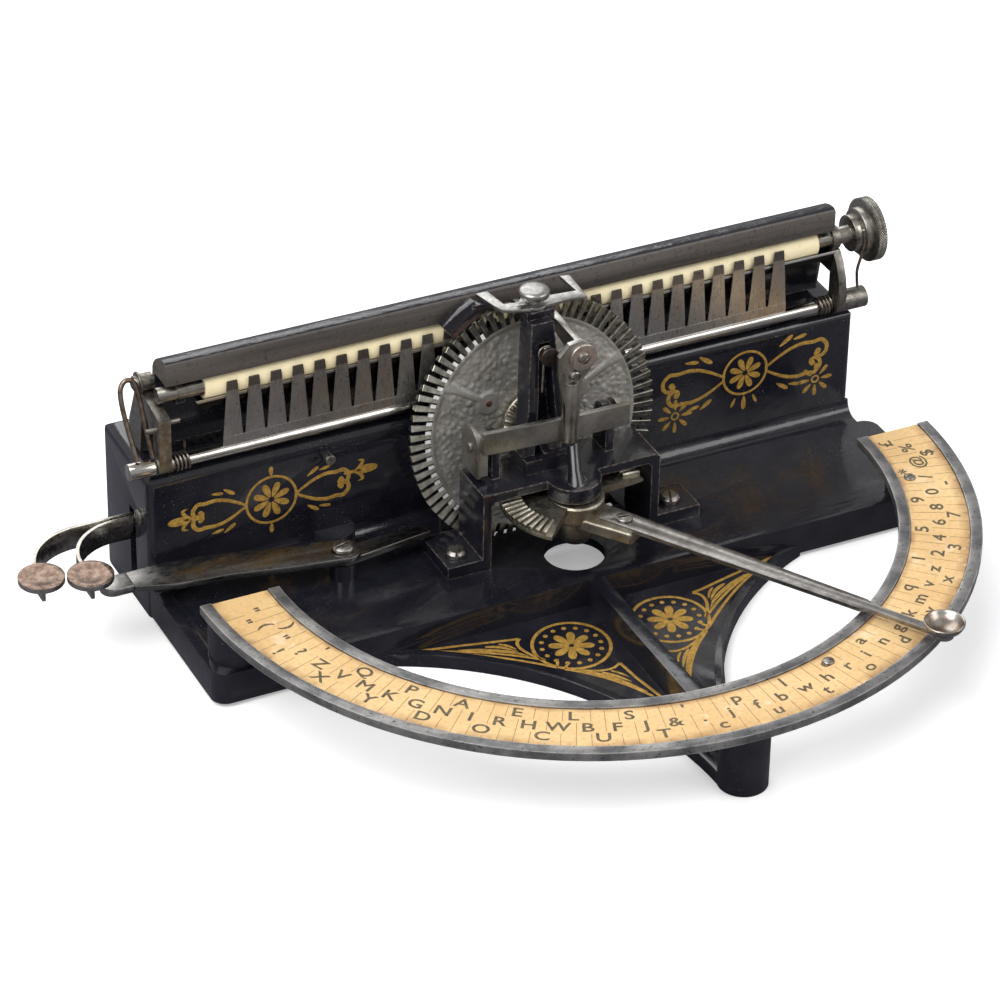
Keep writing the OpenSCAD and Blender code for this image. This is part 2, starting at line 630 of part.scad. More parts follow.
module right_bracket() {
  color([0.5, 0.48, 0.44]) put() difference() {
    union() {
      plate_x(bar_x1, bar_x1 + 2.8) {
        polygon([[33.6, 57], [39.8, 57], [39.8, 69], [50, 69], [52.4, 55], [62, 55], [62, 70], [57, 80],
          [50, 86], [45, 86], [44, 77.6], [38.4, 77.6], [35.6, 74], [33.4, 69], [32.2, 63]]);
        translate([roller_y, roller_z]) circle(4);
      }
      rod_x(3.6, bar_x1, 124.8, rod_y, rod_z);
    }
    rod_x(rod_r + fit, 110, 123, rod_y, rod_z);
    rod_x(shaft_r + fit, 110, 120, roller_y, roller_z);
  }
}
module back_board() {
  color([0.11, 0.1, 0.1]) put() difference() {
    union() {
      block([bar_x0, 47.6, 58.5], [bar_x1, 49.4, 85.4]);
      // open hook behind the roller's left journal
      block([-119.6, 42, 76], [-116.4, 48, 85.4]);
    }
    rod_x(shaft_r + fit, -121, -115, roller_y, roller_z);
  }
}
module carriage_rail() {
  color([0.55, 0.55, 0.55]) put() difference() {
    block([bar_x0, 53, 55], [bar_x1, 61, 60]);
    for (x = [-110:3:104]) block([x, 52, 54], [x + 1.2, 56, 56]);
  }
}
module feed_plate() {
  color([0.75, 0.75, 0.73]) put() {
    plate_y(37.6, 38.1) polygon([[-114.6, 78], [-112.6, 75.2], [-110.8, 73.4], [-109.4, 75.2], [bar_x1, 75.2],
      [bar_x1, 78]]);
    block([-112.4, 37.8, 75.3], [bar_x1, 47.6, 75.9]);
  }
}
module detent_spring() {
  color([0.55, 0.5, 0.45]) put() wire([[121.9, 36.8, 62.4], [120.6, 35.2, 66.4], [119.6, 33.8, 71.4],
    [120.4, 33.2, 76.5], [121.2, 33, 82], [120.6, 33.2, 86.5]], 0.55, [0, 1, 0]);
}
module end_spool() {
  color([0.55, 0.45, 0.36]) put() {
    rod_x(1.5, -131, bar_x0, 50.3, 81.4);
    rod_x(3.7, -129.2, -128.3, 50.3, 81.4);
    rod_x(2.6, -130.4, -129.2, 50.3, 81.4);
  }
}
module feed_sleeve() {
  color([0.9, 0.83, 0.68]) put() difference() {
    rod_x(roller_r, roller_x0, 107, roller_y, roller_z);
    rod_x(shaft_r, roller_x0 - 1, 108, roller_y, roller_z);
  }
}
module feed_shaft() {
  color([0.7, 0.7, 0.7]) put() {
    rod_x(shaft_r, min(-119.8, roller_x0 - 4), 120, roller_y, roller_z);
    rod_x(shaft_r - 0.3, -126.1, min(-119.7, roller_x0 - 3.9), roller_y, roller_z);
    rod_x(6.2, 120, 123, roller_y, roller_z);
  }
}
module feed_knob() {
  color([0.6, 0.58, 0.55]) put() difference() {
    union() {
      rod_x(knob_r - 2.8, 123, 125.6, roller_y, roller_z);
      rod_x(knob_r, 125.8, knob_x1 - 0.4, roller_y, roller_z);
      rod_x(knob_r - 0.7, 125.4, knob_x1, roller_y, roller_z);
    }
    translate([0, roller_y, roller_z]) rotate([0, 90, 0]) for (a = [0:10:350])
      rotate(a) translate([knob_r + 0.3, 0, 125]) cylinder(r = 0.6, h = 5, $fn = 16);
  }
}

// ---- The paper comb ----
module comb_rod() {
  color([0.72, 0.72, 0.7]) put() {
    rod_x(rod_r, -130, 122, rod_y, rod_z);
    rod_x(2.8, -138.1, -129.2, rod_y, rod_z);
  }
}
module paper_comb() {
  color([0.66, 0.63, 0.58]) put() difference() {
    plate_y(36.5, 37.2) {
      translate([-106, 58.6]) square([comb_pitch * (comb_teeth - 1) + 6.8, 4.6]);
      for (i = [0:comb_teeth - 1]) translate([-104.6 + comb_pitch * i, 0])
        polygon([[-1.4, 63.1], [5.3, 63.1], [3.6, 83.2], [0.1, 83.2]]);
    }
    rod_x(rod_r, -140, 130, rod_y, rod_z);
  }
}
module hairpin_handle() {
  color([0.55, 0.42, 0.32]) put() wire([[-134.7, 37.6, 61.3], [-136.5, 43.6, 75.4], [-136.7, 46.2, 81.8],
    [-135.5, 47.2, 84.4], [-133.7, 47.6, 85.4], [-131.9, 47.2, 84.4], [-130.7, 46.2, 81.8],
    [-130.1, 43.6, 75.4], [-129.3, 37.6, 61.3]], 0.85, [0, 1, -0.4]);
}
module comb_springs() {
  color([0.5, 0.45, 0.42]) put() {
    translate([-122.8, rod_y, rod_z]) rotate([0, 90, 0]) rotate(90) wound(2.8, 0.35, 4, 1.3, 1, 6);
    translate([107.2, rod_y, rod_z]) rotate([0, 90, 0]) rotate(90) wound(2.8, 0.35, 3.5, 1.3, 1, 6);
  }
}

// ---- The keys, the lever and the pawl ----
module key_strip(y, bend_x, bend_r, pad) {
  z0 = 24;
  z1 = 32;
  block([bend_x, y, z0], [key_px + 20, y + strip_t, z1]);
  translate([bend_x, y + strip_t - bend_r, z0]) rotate(90) rotate_extrude(angle = 90)
    translate([bend_r - strip_t, 0]) square([strip_t, z1 - z0]);
  block([bend_x - bend_r, pad[1], z0], [bend_x - bend_r + strip_t, y + strip_t - bend_r, z1]);
  translate([pad[0], pad[1], z1]) difference() {
    cylinder(r = pad_r, h = 1.8);
    translate([0, 0, 21]) sphere(20);
  }
}
module print_key() {
  color([0.68, 0.66, 0.62]) put() difference() {
    key_strip(52.4, -151, 20, pad_out);
    rod_yy(1.5 + fit, 40, 60, key_px, key_pz);
  }
}
module space_key() {
  color([0.68, 0.66, 0.62]) put() difference() {
    key_strip(50.4, -138.6, 18, pad_in);
    rod_yy(1.5 + fit, 40, 60, key_px, key_pz);
  }
}
module release_lever() {
  color([0.66, 0.65, 0.6]) put() difference() {
    union() {
      translate([0, 0, 20.8]) linear_extrude(2) {
        polygon([[-141, 26.6], [-128, 22.4], [-110, 20.4], [-90, 16], [-73, 13.4], [-73, 24.6], [-90, 27.5],
          [-105, 31.6], [-117, 34], [-130, 35.4], [-141, 35]]);
        translate([lever_x, lever_y]) circle(5.8);
      }
      translate([0, 0, 18.4]) linear_extrude(2.4) {
        polygon([[-86, 20], [-73, 15.2], [-42, 19.6], [-42, 24.2], [-73, 23], [-86, 24]]);
      }
    }
    translate([lever_x, lever_y, 15]) cylinder(r = 2 + fit, h = 10);
  }
}
module lever_tip() {
  color([0.8, 0.8, 0.78]) put() translate([0, 0, 20.4]) linear_extrude(2.8) {
    translate([-147, 26.8]) square([6, 8.2]);
    translate([-147, 30.9]) circle(4.1);
  }
}
module escape_pawl() {
  color([0.5, 0.5, 0.5]) put() difference() {
    union() {
      rod_yy(3, 55.3, 59.7, pawl_x, pawl_z);
      block([pawl_x - 1.2, 55.3, pawl_z], [pawl_x + 1.2, 59.7, 54.5]);
      block([pawl_x, 55.3, pawl_z - 1.2], [pawl_x + 12, 59.7, pawl_z + 1.2]);
    }
    rod_yy(1.2 + fit, 50, 65, pawl_x, pawl_z);
  }
}

base_casting();
base_cover();
wall_stud();
end_screw();
index_channel();
index_card();
index_screws();
bridge_bracket();
bridge_screws();
column();
column_stud();
column_spring();
guide_plate();
thumb_screw();
ink_arm();
ink_pad();
stop_pin();
pointer_stud();
lever_screw();
arm_stop();
guide_block();
key_block();
key_pin();
yoke_pins();
pawl_pin();
spring_drum();
pointer_gear();
pointer_blade();
finger_cup();
pointer_screw();
wheel_disc();
wheel_fingers();
wheel_back();
wheel_pinion();
wheel_shaft();
wheel_rivets();
yoke_strap();
hammer_lever();
yoke_washer();
yoke_screws();
platen_bar();
left_bracket();
right_bracket();
back_board();
carriage_rail();
feed_plate();
detent_spring();
end_spool();
feed_sleeve();
feed_shaft();
feed_knob();
comb_rod();
paper_comb();
hairpin_handle();
comb_springs();
print_key();
space_key();
release_lever();
lever_tip();
escape_pawl();
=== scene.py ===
import math

import bmesh
import bpy
from mathutils import Matrix, Vector, noise


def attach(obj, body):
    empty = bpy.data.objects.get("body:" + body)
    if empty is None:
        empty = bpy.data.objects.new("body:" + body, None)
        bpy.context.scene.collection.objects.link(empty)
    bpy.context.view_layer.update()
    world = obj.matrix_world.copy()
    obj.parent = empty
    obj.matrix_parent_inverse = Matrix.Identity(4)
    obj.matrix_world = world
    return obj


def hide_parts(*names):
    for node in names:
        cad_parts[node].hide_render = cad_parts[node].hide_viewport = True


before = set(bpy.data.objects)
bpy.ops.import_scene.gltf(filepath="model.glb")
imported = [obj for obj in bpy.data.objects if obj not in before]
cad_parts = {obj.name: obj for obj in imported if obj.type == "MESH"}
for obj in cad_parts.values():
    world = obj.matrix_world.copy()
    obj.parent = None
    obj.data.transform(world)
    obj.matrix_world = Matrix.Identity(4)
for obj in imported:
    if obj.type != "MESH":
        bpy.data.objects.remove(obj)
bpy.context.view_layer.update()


# ---- Camera ----
# A long lens on a copy stand, looking down on the machine from the front left.
azimuth, pitch, roll = (math.radians(angle) for angle in (26.27, 33.56, -1.09))
look = Vector((math.sin(azimuth) * math.cos(pitch), math.cos(azimuth) * math.cos(pitch), -math.sin(pitch)))
across = Vector((math.cos(azimuth), -math.sin(azimuth), 0))
below = look.cross(across)
right = across * math.cos(roll) + below * math.sin(roll)
low = below * math.cos(roll) - across * math.sin(roll)
camera = bpy.data.objects.new("camera", bpy.data.cameras.new("camera"))
bpy.context.collection.objects.link(camera)
camera.data.lens = 161.7
camera.data.sensor_width = 36
camera.data.clip_end = 20
camera.matrix_world = (Matrix.Translation((-0.5273, -1.03575, 0.8264))
                       @ Matrix((right, -low, -look)).transposed().to_4x4())
bpy.context.scene.camera = camera
bpy.context.scene.view_settings.view_transform = "Standard"


# ---- Floor and lamps ----
# A white paper sweep under two soft boxes, as for a catalogue picture. The paper keeps the machine's shadow.
def node(tree, kind, sockets=None, **settings):
    """A shader node; sockets are numbers, colours or other nodes' outputs."""
    made = tree.nodes.new("ShaderNode" + kind)
    for key, value in settings.items():
        setattr(made, key, value)
    for key, value in (sockets or {}).items():
        if isinstance(value, bpy.types.NodeSocket):
            tree.links.new(value, made.inputs[key])
        else:
            made.inputs[key].default_value = value
    return made


paper = bpy.data.materials.new("white_paper")
paper.use_nodes = True
tree = paper.node_tree
tree.nodes.clear()
ray = node(tree, "LightPath")
matt = node(tree, "BsdfDiffuse", {"Color": (0.9, 0.9, 0.9, 1)})
lift = node(tree, "Emission", {"Color": (1, 1, 1, 1), "Strength": 0.32})
dim = node(tree, "BsdfDiffuse", {"Color": (0.16, 0.16, 0.18, 1)})
both = node(tree, "AddShader", {0: matt.outputs[0], 1: lift.outputs[0]})
lit = node(tree, "MixShader", {0: ray.outputs["Is Camera Ray"], 1: matt.outputs[0], 2: both.outputs[0]})
shown = node(tree, "MixShader", {0: ray.outputs["Is Glossy Ray"], 1: lit.outputs[0], 2: dim.outputs[0]})
node(tree, "OutputMaterial", {"Surface": shown.outputs[0]})
bm = bmesh.new()
bmesh.ops.create_grid(bm, x_segments=2, y_segments=2, size=6)
bmesh.ops.translate(bm, verts=bm.verts, vec=(0, 0, -0.0001))
mesh = bpy.data.meshes.new("floor")
bm.to_mesh(mesh)
bm.free()
mesh.materials.append(paper)
floor = bpy.data.objects.new("floor", mesh)
bpy.context.collection.objects.link(floor)

world = bpy.data.worlds.new("studio")
bpy.context.scene.world = world
world.use_nodes = True
tree = world.node_tree
tree.nodes.clear()
ray = node(tree, "LightPath")
plain = node(tree, "Background", {"Color": (1, 1, 1, 1), "Strength": 0.5})
white = node(tree, "Background", {"Color": (1, 1, 1, 1), "Strength": 1.0})
sky = node(tree, "MixShader", {0: ray.outputs["Is Camera Ray"], 1: plain.outputs[0], 2: white.outputs[0]})
node(tree, "OutputWorld", {"Surface": sky.outputs[0]})
for name, place, size, power in (("key_box", (-0.7, -0.25, 1.1), 0.9, 13),
                                 ("fill_box", (0.9, -0.7, 0.9), 0.8, 6),
                                 ("back_box", (0.1, 1.0, 0.9), 1.0, 7)):
    lamp = bpy.data.lights.new(name, "AREA")
    lamp.size = size
    lamp.energy = power
    box = bpy.data.objects.new(name, lamp)
    box.matrix_world = (Matrix.Translation(place)
                        @ (Vector(place) - Vector((0, 0, 0.04))).to_track_quat("Z", "Y").to_matrix().to_4x4())
    bpy.context.collection.objects.link(box)


# ---- Base casting ----
# One iron casting: mechanism box, deck, flat web to the front foot and posts for the index ring.
# Dipped in gloss black enamel over a slightly lumpy skin, dusty now.
def shader(name, colour, metallic=0.0, roughness=0.4, coat=0.0):
    """A material, its node tree and its surface."""
    material = bpy.data.materials.new(name)
    material.use_nodes = True
    surface = material.node_tree.nodes["Principled BSDF"]
    surface.inputs["Base Color"].default_value = (*colour, 1)
    surface.inputs["Metallic"].default_value = metallic
    surface.inputs["Roughness"].default_value = roughness
    surface.inputs["Coat Weight"].default_value = coat
    surface.inputs["Coat Roughness"].default_value = 0.08
    return material, material.node_tree, surface


def grain(tree, per_metre, detail=4.0, stretch=(1, 1, 1), rough=0.55):
    """Cloudy noise over the piece, so many lumps to the metre."""
    where = node(tree, "TexCoord").outputs["Object"]
    laid = node(tree, "Mapping", {"Vector": where, "Scale": stretch})
    return node(tree, "TexNoise", {"Vector": laid.outputs[0], "Scale": per_metre, "Detail": detail,
                                   "Roughness": rough}).outputs[0]


def between(tree, value, start, end, to_start=0.0, to_end=1.0):
    return node(tree, "MapRange", {"Value": value, "From Min": start, "From Max": end, "To Min": to_start,
                                   "To Max": to_end}).outputs[0]


def times(tree, one, other):
    return node(tree, "Math", {0: one, 1: other}, operation="MULTIPLY").outputs[0]


def mix(tree, share, one, other):
    one, other = ((*c, 1) if isinstance(c, tuple) and len(c) == 3 else c for c in (one, other))
    return node(tree, "MixRGB", {"Fac": share, "Color1": one, "Color2": other}).outputs[0]


def edges(tree, radius):
    """1 along the piece's sharp edges, where a finish wears first, and 0 on its faces."""
    rounded = node(tree, "Bevel", {"Radius": radius}, samples=4).outputs[0]
    true = node(tree, "NewGeometry").outputs["Normal"]
    turn = node(tree, "VectorMath", {0: rounded, 1: true}, operation="DOT_PRODUCT").outputs["Value"]
    return between(tree, turn, 0.99, 0.86)


def relief(tree, surface, height, depth):
    """Bump, of a real depth in metres."""
    before = surface.inputs["Normal"].links
    sockets = {"Height": height, "Distance": depth, "Strength": 1.0}
    if before:
        sockets["Normal"] = before[0].from_socket
    tree.links.new(node(tree, "Bump", sockets).outputs[0], surface.inputs["Normal"])


def set_socket(tree, surface, name, source):
    tree.links.new(source, surface.inputs[name])


def enamel(name, worn=0.0, dust=0.5):
    """Gloss black enamel; worn is how far its edges are rubbed to brown metal."""
    material, tree, surface = shader(name, (0.007, 0.007, 0.012), roughness=0.16, coat=0.25)
    specks = between(tree, grain(tree, 2600, 1.5), 0.69, 0.76)
    cloudy = between(tree, grain(tree, 45, 5), 0.42, 0.68)
    film = between(tree, grain(tree, 120, 6), 0.35, 0.8)
    dusty = times(tree, times(tree, specks, cloudy), dust)
    colour = mix(tree, times(tree, film, 0.14 * dust), (0.007, 0.007, 0.012), (0.09, 0.09, 0.105))
    colour = mix(tree, dusty, colour, (0.42, 0.40, 0.38))
    if worn:
        patchy = between(tree, grain(tree, 420, 5), 0.5 - 0.3 * worn, 0.62)
        rubbed = times(tree, edges(tree, 0.0007), patchy)
        mottled = between(tree, grain(tree, 900, 3), 0.42, 0.6)
        tone = mix(tree, mottled, (0.17, 0.085, 0.055), (0.5, 0.46, 0.44))
        colour = mix(tree, rubbed, colour, tone)
        set_socket(tree, surface, "Metallic", times(tree, rubbed, 0.6))
    set_socket(tree, surface, "Base Color", colour)
    set_socket(tree, surface, "Roughness", between(tree, grain(tree, 70, 6), 0.35, 0.75, 0.1, 0.3))
    relief(tree, surface, grain(tree, 260, 3), 0.00012)
    return material


POINTER_AXLE = Vector((24.2, 26.75, 0))


def finish_piece(name, bm, material, body, stands_for=(), sharp=35, bevel=0.0, segments=2):
    """Makes a bmesh in millimetres from the pointer's axle a piece in metres that rides on a body."""
    bmesh.ops.transform(bm, verts=bm.verts, matrix=Matrix.Scale(0.001, 4) @ Matrix.Translation(POINTER_AXLE))
    made = bpy.data.meshes.new(name)
    bm.to_mesh(made)
    bm.free()
    for item in material if isinstance(material, (list, tuple)) else [material]:
        made.materials.append(item)
    made.shade_smooth()
    piece = bpy.data.objects.new(name, made)
    bpy.context.collection.objects.link(piece)
    if bevel:
        edge = piece.modifiers.new("edge", "BEVEL")
        edge.width = bevel / 1000
        edge.segments = segments
        edge.limit_method = "ANGLE"
        edge.angle_limit = math.radians(sharp)
        edge.harden_normals = True
    else:
        made.set_sharp_from_angle(angle=math.radians(sharp))
    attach(piece, body)
    if stands_for:
        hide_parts(*stands_for)
    return piece


def from_part(name):
    """A node's own solid in millimetres from the pointer's axle, its loose triangles joined into faces."""
    bm = bmesh.new()
    bm.from_mesh(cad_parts[name].data)
    for layers in (bm.loops.layers.float_vector, bm.loops.layers.uv):
        for layer in list(layers.values()):
            layers.remove(layer)
    bmesh.ops.remove_doubles(bm, verts=bm.verts, dist=1e-6)
    bmesh.ops.dissolve_limit(bm, angle_limit=math.radians(0.8), verts=bm.verts, edges=bm.edges)
    bmesh.ops.transform(bm, verts=bm.verts, matrix=Matrix.Translation(-POINTER_AXLE) @ Matrix.Scale(1000, 4))
    for face in bm.faces:
        face.material_index = 0
    return bm


def soften(name, material, body, bevel, segments=2, sharp=35):
    """A node's solid with its edges broken, as filing and plating leave them."""
    return finish_piece(name + "_body", from_part(name), material, body, [name], sharp, bevel, segments)


def dress(material, *names):
    """Gives plain pieces, which keep their own solids, a finish."""
    for name in names:
        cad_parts[name].data.materials.clear()
        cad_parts[name].data.materials.append(material)


base_enamel = enamel("base_enamel", dust=0.75)
soften("base_casting", base_enamel, "base", 0.8, 3)
dress(base_enamel, "guide_block", "key_block")


# ---- Gold lines on the base ----
# Gold size and bronze powder, laid on the enamel with a fine brush and rubbed thin with use:
# a rosette and strapwork on each wing of the web, scrolls and small flowers on the box.
def speckled(tree, colour, per_metre, start, end, share, speck, detail=3):
    """A colour with fine specks of another in it."""
    specks = between(tree, grain(tree, per_metre, detail), start, end)
    return mix(tree, times(tree, specks, share), colour, speck)


def old_gold(name):
    material, tree, surface = shader(name, (0.50, 0.29, 0.055), metallic=0.35, roughness=0.42)
    tone = mix(tree, between(tree, grain(tree, 800, 4), 0.35, 0.65), (0.36, 0.20, 0.035), (0.62, 0.37, 0.08))
    set_socket(tree, surface, "Base Color",
               speckled(tree, tone, 1500, 0.62, 0.70, 0.75, (0.05, 0.032, 0.012), 2))
    set_socket(tree, surface, "Roughness", between(tree, grain(tree, 300, 3), 0.3, 0.7, 0.32, 0.5))
    return material


def through(points, per_step=6, closed=False):
    """A smooth line through points, with per_step parts between two of them."""
    path = [Vector(p) for p in points]
    count = len(path)
    line = []
    for i in range(count if closed else count - 1):
        a, b, c, d = (path[k % count] if closed else path[min(max(k, 0), count - 1)]
                      for k in range(i - 1, i + 3))
        for step in range(per_step):
            t = step / per_step
            line.append(0.5 * (2 * b + (c - a) * t + (2 * a - 5 * b + 4 * c - d) * t ** 2
                               + (3 * b - a - 3 * c + d) * t ** 3))
    return line if closed else line + [path[-1]]


def wire(points, radius, closed=False, sides=2, ends=None):
    """A round wire along points, in millimetres; ends gives its thickness at each point."""
    path = bpy.data.curves.new("path", "CURVE")
    path.dimensions = "3D"
    spline = path.splines.new("POLY")
    spline.points.add(len(points) - 1)
    for k, point in enumerate(points):
        spline.points[k].co = (*point, 1)
        spline.points[k].radius = ends(k / (len(points) - 1)) if ends else 1
    spline.use_cyclic_u = closed
    path.bevel_depth = radius
    path.bevel_resolution = sides
    path.use_fill_caps = not closed
    holder = bpy.data.objects.new("path", path)
    bpy.context.collection.objects.link(holder)
    bpy.context.view_layer.update()
    made = bpy.data.meshes.new_from_object(holder.evaluated_get(bpy.context.evaluated_depsgraph_get()))
    bm = bmesh.new()
    bm.from_mesh(made)
    bpy.data.objects.remove(holder)
    bpy.data.curves.remove(path)
    bpy.data.meshes.remove(made)
    bmesh.ops.remove_doubles(bm, verts=bm.verts, dist=1e-5)
    bmesh.ops.recalc_face_normals(bm, faces=bm.faces)
    return bm


def join(*parts):
    """Several bmeshes as one."""
    whole = bmesh.new()
    for part in parts:
        held = bpy.data.meshes.new("held")
        part.to_mesh(held)
        part.free()
        whole.from_mesh(held)
        bpy.data.meshes.remove(held)
    return whole


def turned(bm, matrix):
    bmesh.ops.transform(bm, verts=bm.verts, matrix=matrix)
    return bm


PAINT = 0.09


def brushed(points, width, closed=False, ends=None):
    """A painted line in its own flat plane: a wire pressed flat."""
    bm = wire([(*p[:2], 0) for p in points], width / 2, closed, 1, ends)
    return turned(bm, Matrix.Scale(PAINT / width, 4, (0, 0, 1)))


def extruded(bm, way):
    """Draws all faces of a flat shape along a way."""
    drawn = bmesh.ops.extrude_face_region(bm, geom=bm.faces[:])
    bmesh.ops.translate(bm, verts=[v for v in drawn["geom"] if isinstance(v, bmesh.types.BMVert)], vec=way)
    bmesh.ops.recalc_face_normals(bm, faces=bm.faces)


def blot(x, y, long, wide, angle=0.0, point=0.0):
    """A painted dot, leaf or petal; point draws one end in."""
    bm = bmesh.new()
    bmesh.ops.create_circle(bm, cap_ends=True, segments=18, radius=1)
    for vert in bm.verts:
        vert.co.y *= 1 - point * (0.5 - 0.5 * vert.co.x)
    extruded(bm, (0, 0, PAINT))
    bmesh.ops.scale(bm, vec=(long / 2, wide / 2, 1), verts=bm.verts)
    return turned(bm, Matrix.Translation((x, y, -PAINT / 2)) @ Matrix.Rotation(math.radians(angle), 4, "Z"))


def round_line(x, y, radius, count=48):
    return [(x + radius * math.cos(a), y + radius * math.sin(a))
            for a in (2 * math.pi * k / count for k in range(count))]


def flower(x, y, reach, petals=8, turn=0.0, inner=0.25, width=0.34):
    """Petals round a middle."""
    parts = []
    for k in range(petals):
        angle = turn + 360 * k / petals
        middle = reach * (1 + inner) / 2
        parts.append(blot(x + middle * math.cos(math.radians(angle)),
                          y + middle * math.sin(math.radians(angle)),
                          reach * (1 - inner), reach * width, angle, 0.55))
    return parts


def leaf_line(points, width):
    """A tapered stroke."""
    line = through(points, 5)
    return brushed(line, width, ends=lambda t: 0.15 + 0.85 * math.sin(math.pi * min(1, 0.08 + t)) ** 0.7)


RIM_CENTRE = Vector((-116, -116))


def inside(points):
    """Points drawn in from the round edge between two arms of the web."""
    drawn = []
    for point in points:
        way = Vector(point[:2]) - RIM_CENTRE
        if way.length < 125:
            way *= (111.8 + (way.length - 102) * 0.574) / way.length
        drawn.append((RIM_CENTRE + way)[:])
    return drawn


gold = old_gold("gold_paint")
wing_x, wing_y = -17.6, -33.9
wing = [brushed(round_line(wing_x, wing_y, 12.5), 1.15, closed=True)]
wing += flower(wing_x, wing_y, 7.4, turn=22.5, inner=0.1, width=0.5)
for k in range(16):
    angle = 2 * math.pi * (k + 0.5) / 16
    wing.append(blot(wing_x + 9.6 * math.cos(angle), wing_y + 9.6 * math.sin(angle), 1.6, 1.6))
for width, per_step, points in (
        (1.1, 3, [(-69.5, -24.7), (-60, -24.5), (-45, -24.1), (-31.0, -23.7)]),
        (1.1, 4, [(-31.0, -23.7), (-33.4, -26.2), (-35.0, -29.6), (-35.4, -33.5), (-34.6, -37.6),
                  (-32.8, -41.2)]),
        (1.0, 4, [(-32.8, -41.2), (-42, -35.4), (-52, -30.6), (-62, -27), (-69.5, -24.7)]),
        (1.0, 4, [(-69.5, -25.2), (-60, -29.0), (-50.5, -34.2), (-41, -40.6), (-32.6, -47.2)]),
        (1.0, 4, [(-30.6, -48.8), (-25, -52.4), (-19.3, -57.4), (-14.4, -63.4), (-10.4, -70.4)]),
        (1.0, 4, [(-7.9, -48.6), (-11.3, -50.4), (-15.6, -51.4), (-21, -51.4), (-26.5, -49.9)]),
        (1.0, 4, [(-26.5, -49.9), (-20.6, -54), (-15.2, -60), (-10.8, -67.6)])):
    wing.append(brushed(inside(through(points, per_step)), width))
for width, points in ((1.0, [(-32.6, -47.2), (-30.4, -44.6), (-28.3, -41.6)]),
                      (1.0, [(-25.6, -44.4), (-28.3, -46.5), (-30.6, -48.8)]),
                      (1.1, [(-7.9, -48.6), (-7.6, -58), (-7.3, -71.5)])):
    wing.append(brushed(inside(points), width))
for width, points in ((1.6, [(-56, -28.2), (-48, -29.8), (-40, -33.4), (-36.4, -37.4)]),
                      (1.3, [(-46, -27.3), (-41, -28.9), (-37.6, -33.2)]),
                      (1.0, [(-40.4, -26.1), (-38.2, -28.2), (-37.0, -31.6)]),
                      (1.5, [(-22.6, -52), (-17.8, -56.2), (-13.4, -62.4), (-11.4, -67)]),
                      (1.2, [(-18.4, -52.8), (-14.6, -56.0), (-11.6, -60.4)]),
                      (0.9, [(-14.2, -52.2), (-11.8, -54.2), (-10.0, -57.4)])):
    wing.append(leaf_line(inside(points), width))
WEB_TOP = 3.03
left_wing = turned(join(*wing), Matrix.Translation((0, 0, WEB_TOP)))
right_wing = left_wing.copy()
bmesh.ops.scale(right_wing, vec=(-1, 1, 1), verts=right_wing.verts)
bmesh.ops.reverse_faces(right_wing, faces=right_wing.faces)
finish_piece("web_ornament", join(left_wing, right_wing), gold, "base", sharp=60)

UPRIGHT = Matrix.Translation((0, 38, 0)) @ Matrix.Rotation(math.radians(90), 4, "X")


def tip(x, z, way):
    """A three-lobed lance tip pointing left (-1) or right (1)."""
    turn = 0 if way < 0 else 180
    lobes = [leaf_line([(x - way * 4.6, z), (x - way * 2.6, z + up * 1.4), (x - way * 1.6, z + up * 3.4),
                        (x - way * 3.4, z + up * 4.0)], 1.3) for up in (1, -1)]
    return [blot(x, z, 7.2, 3.2, turn), blot(x - way * 5.2, z, 6.4, 1.5, turn, 0.4)] + lobes


def scroll(x, z, size, way, up):
    """A stem that rolls up into a volute, with two leaves on its back."""
    stem = [(x + way * size * (t * 1.55 - 0.1), z + up * size * 0.42 * math.sin(t * 2.4))
            for t in (0, 0.2, 0.4, 0.6, 0.8)]
    centre = (x + way * size * 1.28, z + up * size * 0.12)
    roll_up = [(centre[0] + way * size * (0.30 - 0.045 * k) * math.cos(1.35 - k * 0.8),
                centre[1] + up * size * (0.30 - 0.045 * k) * math.sin(1.35 - k * 0.8)) for k in range(7)]
    swell = lambda t: 0.5 + 0.7 * math.sin(math.pi * t) ** 0.5
    return [brushed(through(stem + roll_up, 5), 1.25, ends=swell),
            blot(centre[0], centre[1], size * 0.16, size * 0.16),
            blot(x + way * size * 0.42, z + up * size * 0.60, size * 0.42, size * 0.15, 35 * way * up, 0.5),
            blot(x + way * size * 0.78, z + up * size * 0.62, size * 0.36, size * 0.13, 10 * way * up, 0.5)]


parts = tip(-121.5, 34.8, -1) + tip(-56, 37.6, 1)
mid_x, mid_z = -89.5, 34.6
parts += flower(mid_x, mid_z, 6.6, turn=22.5, inner=0.14, width=0.46)
parts.append(brushed(round_line(mid_x, mid_z, 8.6), 0.9, closed=True))
for way in (-1, 1):
    parts += scroll(mid_x + way * 9.6, mid_z, 11.5, way, 1)
    parts += scroll(mid_x + way * 9.6, mid_z, 11.5, way, -1)
parts += [blot(mid_x, mid_z + 10.8, 3.4, 1.9, 90, 0.4), blot(mid_x, mid_z - 10.8, 3.4, 1.9, -90, 0.4)]
for x, z in ((55.7, 28.0), (108.6, 29.1)):
    parts += flower(x, z, 6.4, turn=90, inner=0.34, width=0.3)
    parts.append(brushed(round_line(x, z, 1.25, 20), 0.7, closed=True))
mid_x, mid_z = 81.5, 38.4
parts += flower(mid_x, mid_z, 6.2, turn=22.5, inner=0.14, width=0.46)
parts.append(brushed(round_line(mid_x, mid_z, 8.1), 0.9, closed=True))
for way in (-1, 1):
    parts += scroll(mid_x + way * 9.0, mid_z, 14.5, way, 1)
    parts += scroll(mid_x + way * 9.0, mid_z - 1, 13.0, way, -1)
